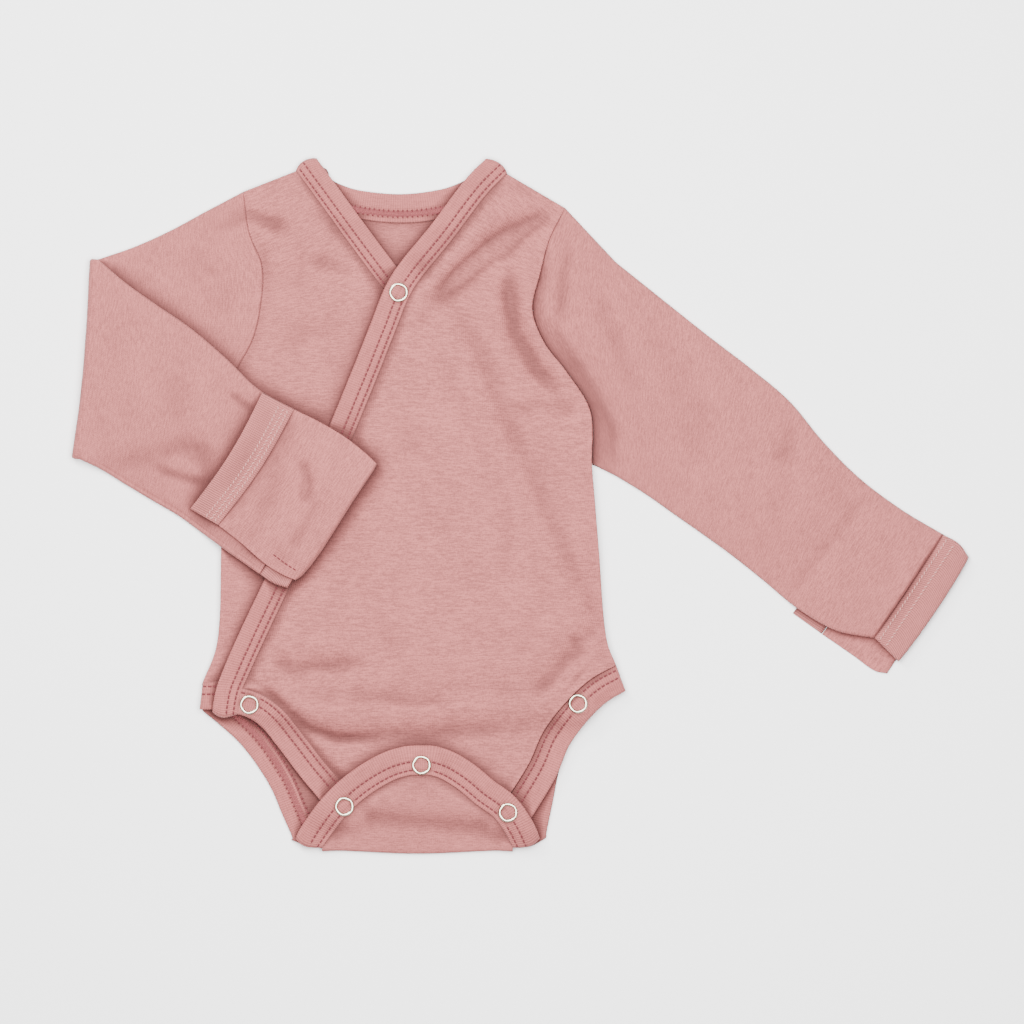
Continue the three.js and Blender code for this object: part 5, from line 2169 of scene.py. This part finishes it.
@dataclass(frozen=True)
class Studio:
    """The camera, the pale floor and the soft lights.

    Args:
        centre: the photograph's centre in the plan, in millimetres.
        view_width: width of the view in millimetres.
    """

    centre: tuple[float, float] = (-3.88, -3.15)
    view_width: float = 496.6
    height: float = 900.0

    def camera(self) -> None:
        """Looks straight down, with the neck at the top."""
        data = bpy.data.cameras.new("camera")
        data.type = "ORTHO"
        data.ortho_scale = self.view_width * MM
        data.clip_end = 10.0
        camera = bpy.data.objects.new("camera", data)
        camera.location = (self.centre[0] * MM, self.centre[1] * MM, self.height * MM)
        bpy.context.scene.collection.objects.link(camera)
        bpy.context.scene.camera = camera

    def floor(self) -> None:
        """A plain pale floor."""
        size = 3.0
        mesh = bpy.data.meshes.new("floor")
        corners = [(-size, -size, 0), (size, -size, 0), (size, size, 0), (-size, size, 0)]
        mesh.from_pydata([(x, y, -0.0003) for x, y, _ in corners], [], [(0, 1, 2, 3)])
        graph = Graph("floor")
        graph.finish({"Base Color": (0.93, 0.93, 0.93, 1.0), "Roughness": 0.9, "Specular IOR Level": 0.1})
        mesh.materials.append(graph.material)
        floor = bpy.data.objects.new("floor", mesh)
        bpy.context.scene.collection.objects.link(floor)

    def light(self, name: str, place: tuple[float, float, float], size: float, power: float) -> None:
        """A soft square light that looks at the garment.

        Args:
            name: its name.
            place: where it hangs, in metres.
            size: its side in metres.
            power: its power in watts.
        """
        data = bpy.data.lights.new(name, "AREA")
        data.shape = "SQUARE"
        data.size = size
        data.energy = power
        light = bpy.data.objects.new(name, data)
        light.location = place
        light.rotation_euler = (Vector((0, 0, 0)) - Vector(place)).to_track_quat("-Z", "Y").to_euler()
        bpy.context.scene.collection.objects.link(light)

    def lights(self) -> None:
        """A broad light overhead, a weaker one from the upper left and a dim room."""
        self.light("overhead", (0.0, 0.1, 1.05), 1.1, 55.0)
        self.light("key", (-0.7, 0.9, 0.9), 0.4, 18.0)
        world = bpy.data.worlds.new("room")
        world.use_nodes = True
        background = world.node_tree.nodes["Background"]
        background.inputs["Color"].default_value = (1.0, 1.0, 1.0, 1.0)
        background.inputs["Strength"].default_value = 0.21
        bpy.context.scene.world = world

    def build(self) -> None:
        """Sets up the whole studio."""
        self.camera()
        self.floor()
        self.lights()


def make_back() -> Back:
    """The back and its bindings, with their sizes."""
    return Back(
        Panel("back", BACK_BODY, (), 0.0, Cut(200, 380, 0.69, Held.FOLDED), 11),
        Binding("back_neck_binding", (14.2, 13.2), (-0.82, 0.57), (0.86, 0.52), Cut(13.8, 115), (3.0, 5.8), corners=(7, 7), lift=0.0),
        (
            Binding("back_leg_binding_left", (11.2, 11.0), (-0.1, -1), (-1, 0.05), Cut(11.6, 99), (-0.6, 4.6), corners=(0, 4.5), lift=0.0),
            Binding("back_leg_binding_right", (14.4, 13.0), (1, 0.05), (0.35, -0.94), Cut(13.9, 106), (1.3, 5.8), corners=(4.5, 0), lift=0.0),
        ),
        Binding("flap_binding", (14.2, 14.2), (1, 0.05), (-1, 0.05), Cut(14.5, 150), corners=(4.2, 4.2)),
    )


def lay_fronts(shop: Workshop, back_plan: np.ndarray) -> Levels:
    """Lays the two fronts with their snaps.

    Args:
        shop: the shared workshop.
        back_plan: the back's plan, which is not used.

    Returns:
        The height of the fronts.
    """
    under = Front(
        Panel(
            "front_under", UNDER_BODY, UNDER_CREASES, 2.3, Cut(182, 250, 0.6), 12,
            tucked=(False, True, True), pins=(0.4, 1, 0.6, 1),
        ),
        (
            Binding("front_under_neck_binding", (12.0, 11.4), (1, 0), (0.86, 0.52), Cut(12.4, 307), crowns=(2.3, 2.3)),
            Binding("front_under_hem_binding", (13.2, 12.0), (-0.12, -1), (0, -1), Cut(12.9, 196)),
        ),
    )
    plan = under.panel.plan()
    under.lay(shop, plan, [plan[::-1, -1], plan[-1]], 2.5, 2.0)
    for name in ("neck", "hip_left", "hip_right"):
        Snap(name).stud(shop)
    over = Front(
        Panel(
            "front_over", OVER_BODY, FRONT_CREASES, 3.2, Cut(181, 310, 0.6), 13,
            tucked=(True, False, False), pins=(1, 0.3, 0.8, 0.2),
        ),
        (
            Binding("front_over_wrap_binding", (12.4, 12.4), (-0.82, 0.57), (-1, -0.2), Cut(13.1, 319), crowns=(2.3, 0.6), corners=(0, 3.5)),
            Binding("front_leg_binding_left", (12.6, 13.6), (-0.1, -1), None, Cut(13.3, 82), bare=1.5),
            Binding("front_leg_binding_right", (14.8, 13.0), None, (0.35, -0.94), Cut(14.3, 98)),
        ),
    )
    shares = shares_for(181, over.panel.pitch)
    body = ruled(OVER_BODY, over.panel.pitch, shares)
    legs = ruled(OVER_LEGS, over.panel.pitch, shares)
    leg_points = np.array([LEG_LEFT_START, *grid_of(OVER_LEGS)[:, 0]])
    leg_left = smooth_line(leg_points, [8] * (len(leg_points) - 1))
    edges = [np.concatenate([body[:, 0], WRAP_END]), leg_left, legs[::-1, -1]]
    over.lay(shop, np.concatenate([body, legs[1:]]), edges, 5.0, 3.5)
    for name in ("flap_left", "flap_top", "flap_right"):
        Snap(name).stud(shop)
    return Levels(shop.pile.heights.copy())


def make_right_sleeve() -> StraightSleeve:
    """The right sleeve with its sizes."""
    return StraightSleeve(
        Lens(RIGHT_SLEEVE_CREASES, 2.6, CLOTH, 21),
        Cut(200, 245, 0.66),
        Cuff("cuff_band_right", RIGHT_CUFF, Lens((), 0.6, HEM_WALL, 22), Cut(123, 18.5), (2.7, 7.0), 1.6),
        Panel("mitten_right", RIGHT_MITTEN, (), 0.0, Cut(65, 40, 0.88), 23, pitch=2.0, waviness=0.0),
        Panel("mitten_band_right", RIGHT_MITTEN_BAND, (), 0.0, Cut(62, 17.5), 24, pitch=2.0, waviness=0.0),
        2.6,
    )


def make_left_sleeve() -> FoldedSleeve:
    """The left sleeve with its sizes."""
    return FoldedSleeve(
        Lens(UPPER_SLEEVE_CREASES, 0.8, CLOTH, 25),
        Lens(LEFT_SLEEVE_CREASES, 1.6, CLOTH, 26, 0.55),
        Cut(200, 215, 0.84, Held.FOLDED),
        Cuff("cuff_band_left", LEFT_CUFF, Lens((), 0.3, HEM_WALL, 27), Cut(150, 16.5), ()),
        Cut(68, 60, 0.97, Held.FOLDED),
        Cut(67, 17.3),
    )


def main() -> None:
    """Builds the pieces in the order in which they lie."""
    logging.basicConfig(level=logging.INFO, format="%(message)s")
    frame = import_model()
    LOG.info("%d nodes in the frame", len(frame["nodes"]))
    Studio().build()
    shop = Workshop()
    back = make_back()
    back.lay(shop)
    front_top = lay_fronts(shop, back.body_plan)
    back.fold(shop)
    make_right_sleeve().lay(shop, front_top)
    make_left_sleeve().lay(shop, front_top)
    for name in SNAPS:
        Snap(name).ring(shop)
    # Paints shade into the cloth's colour where it lies in hollows and grooves.
    paint_hollow_shade(shop.pile)


if __name__ == "__main__":
    main()
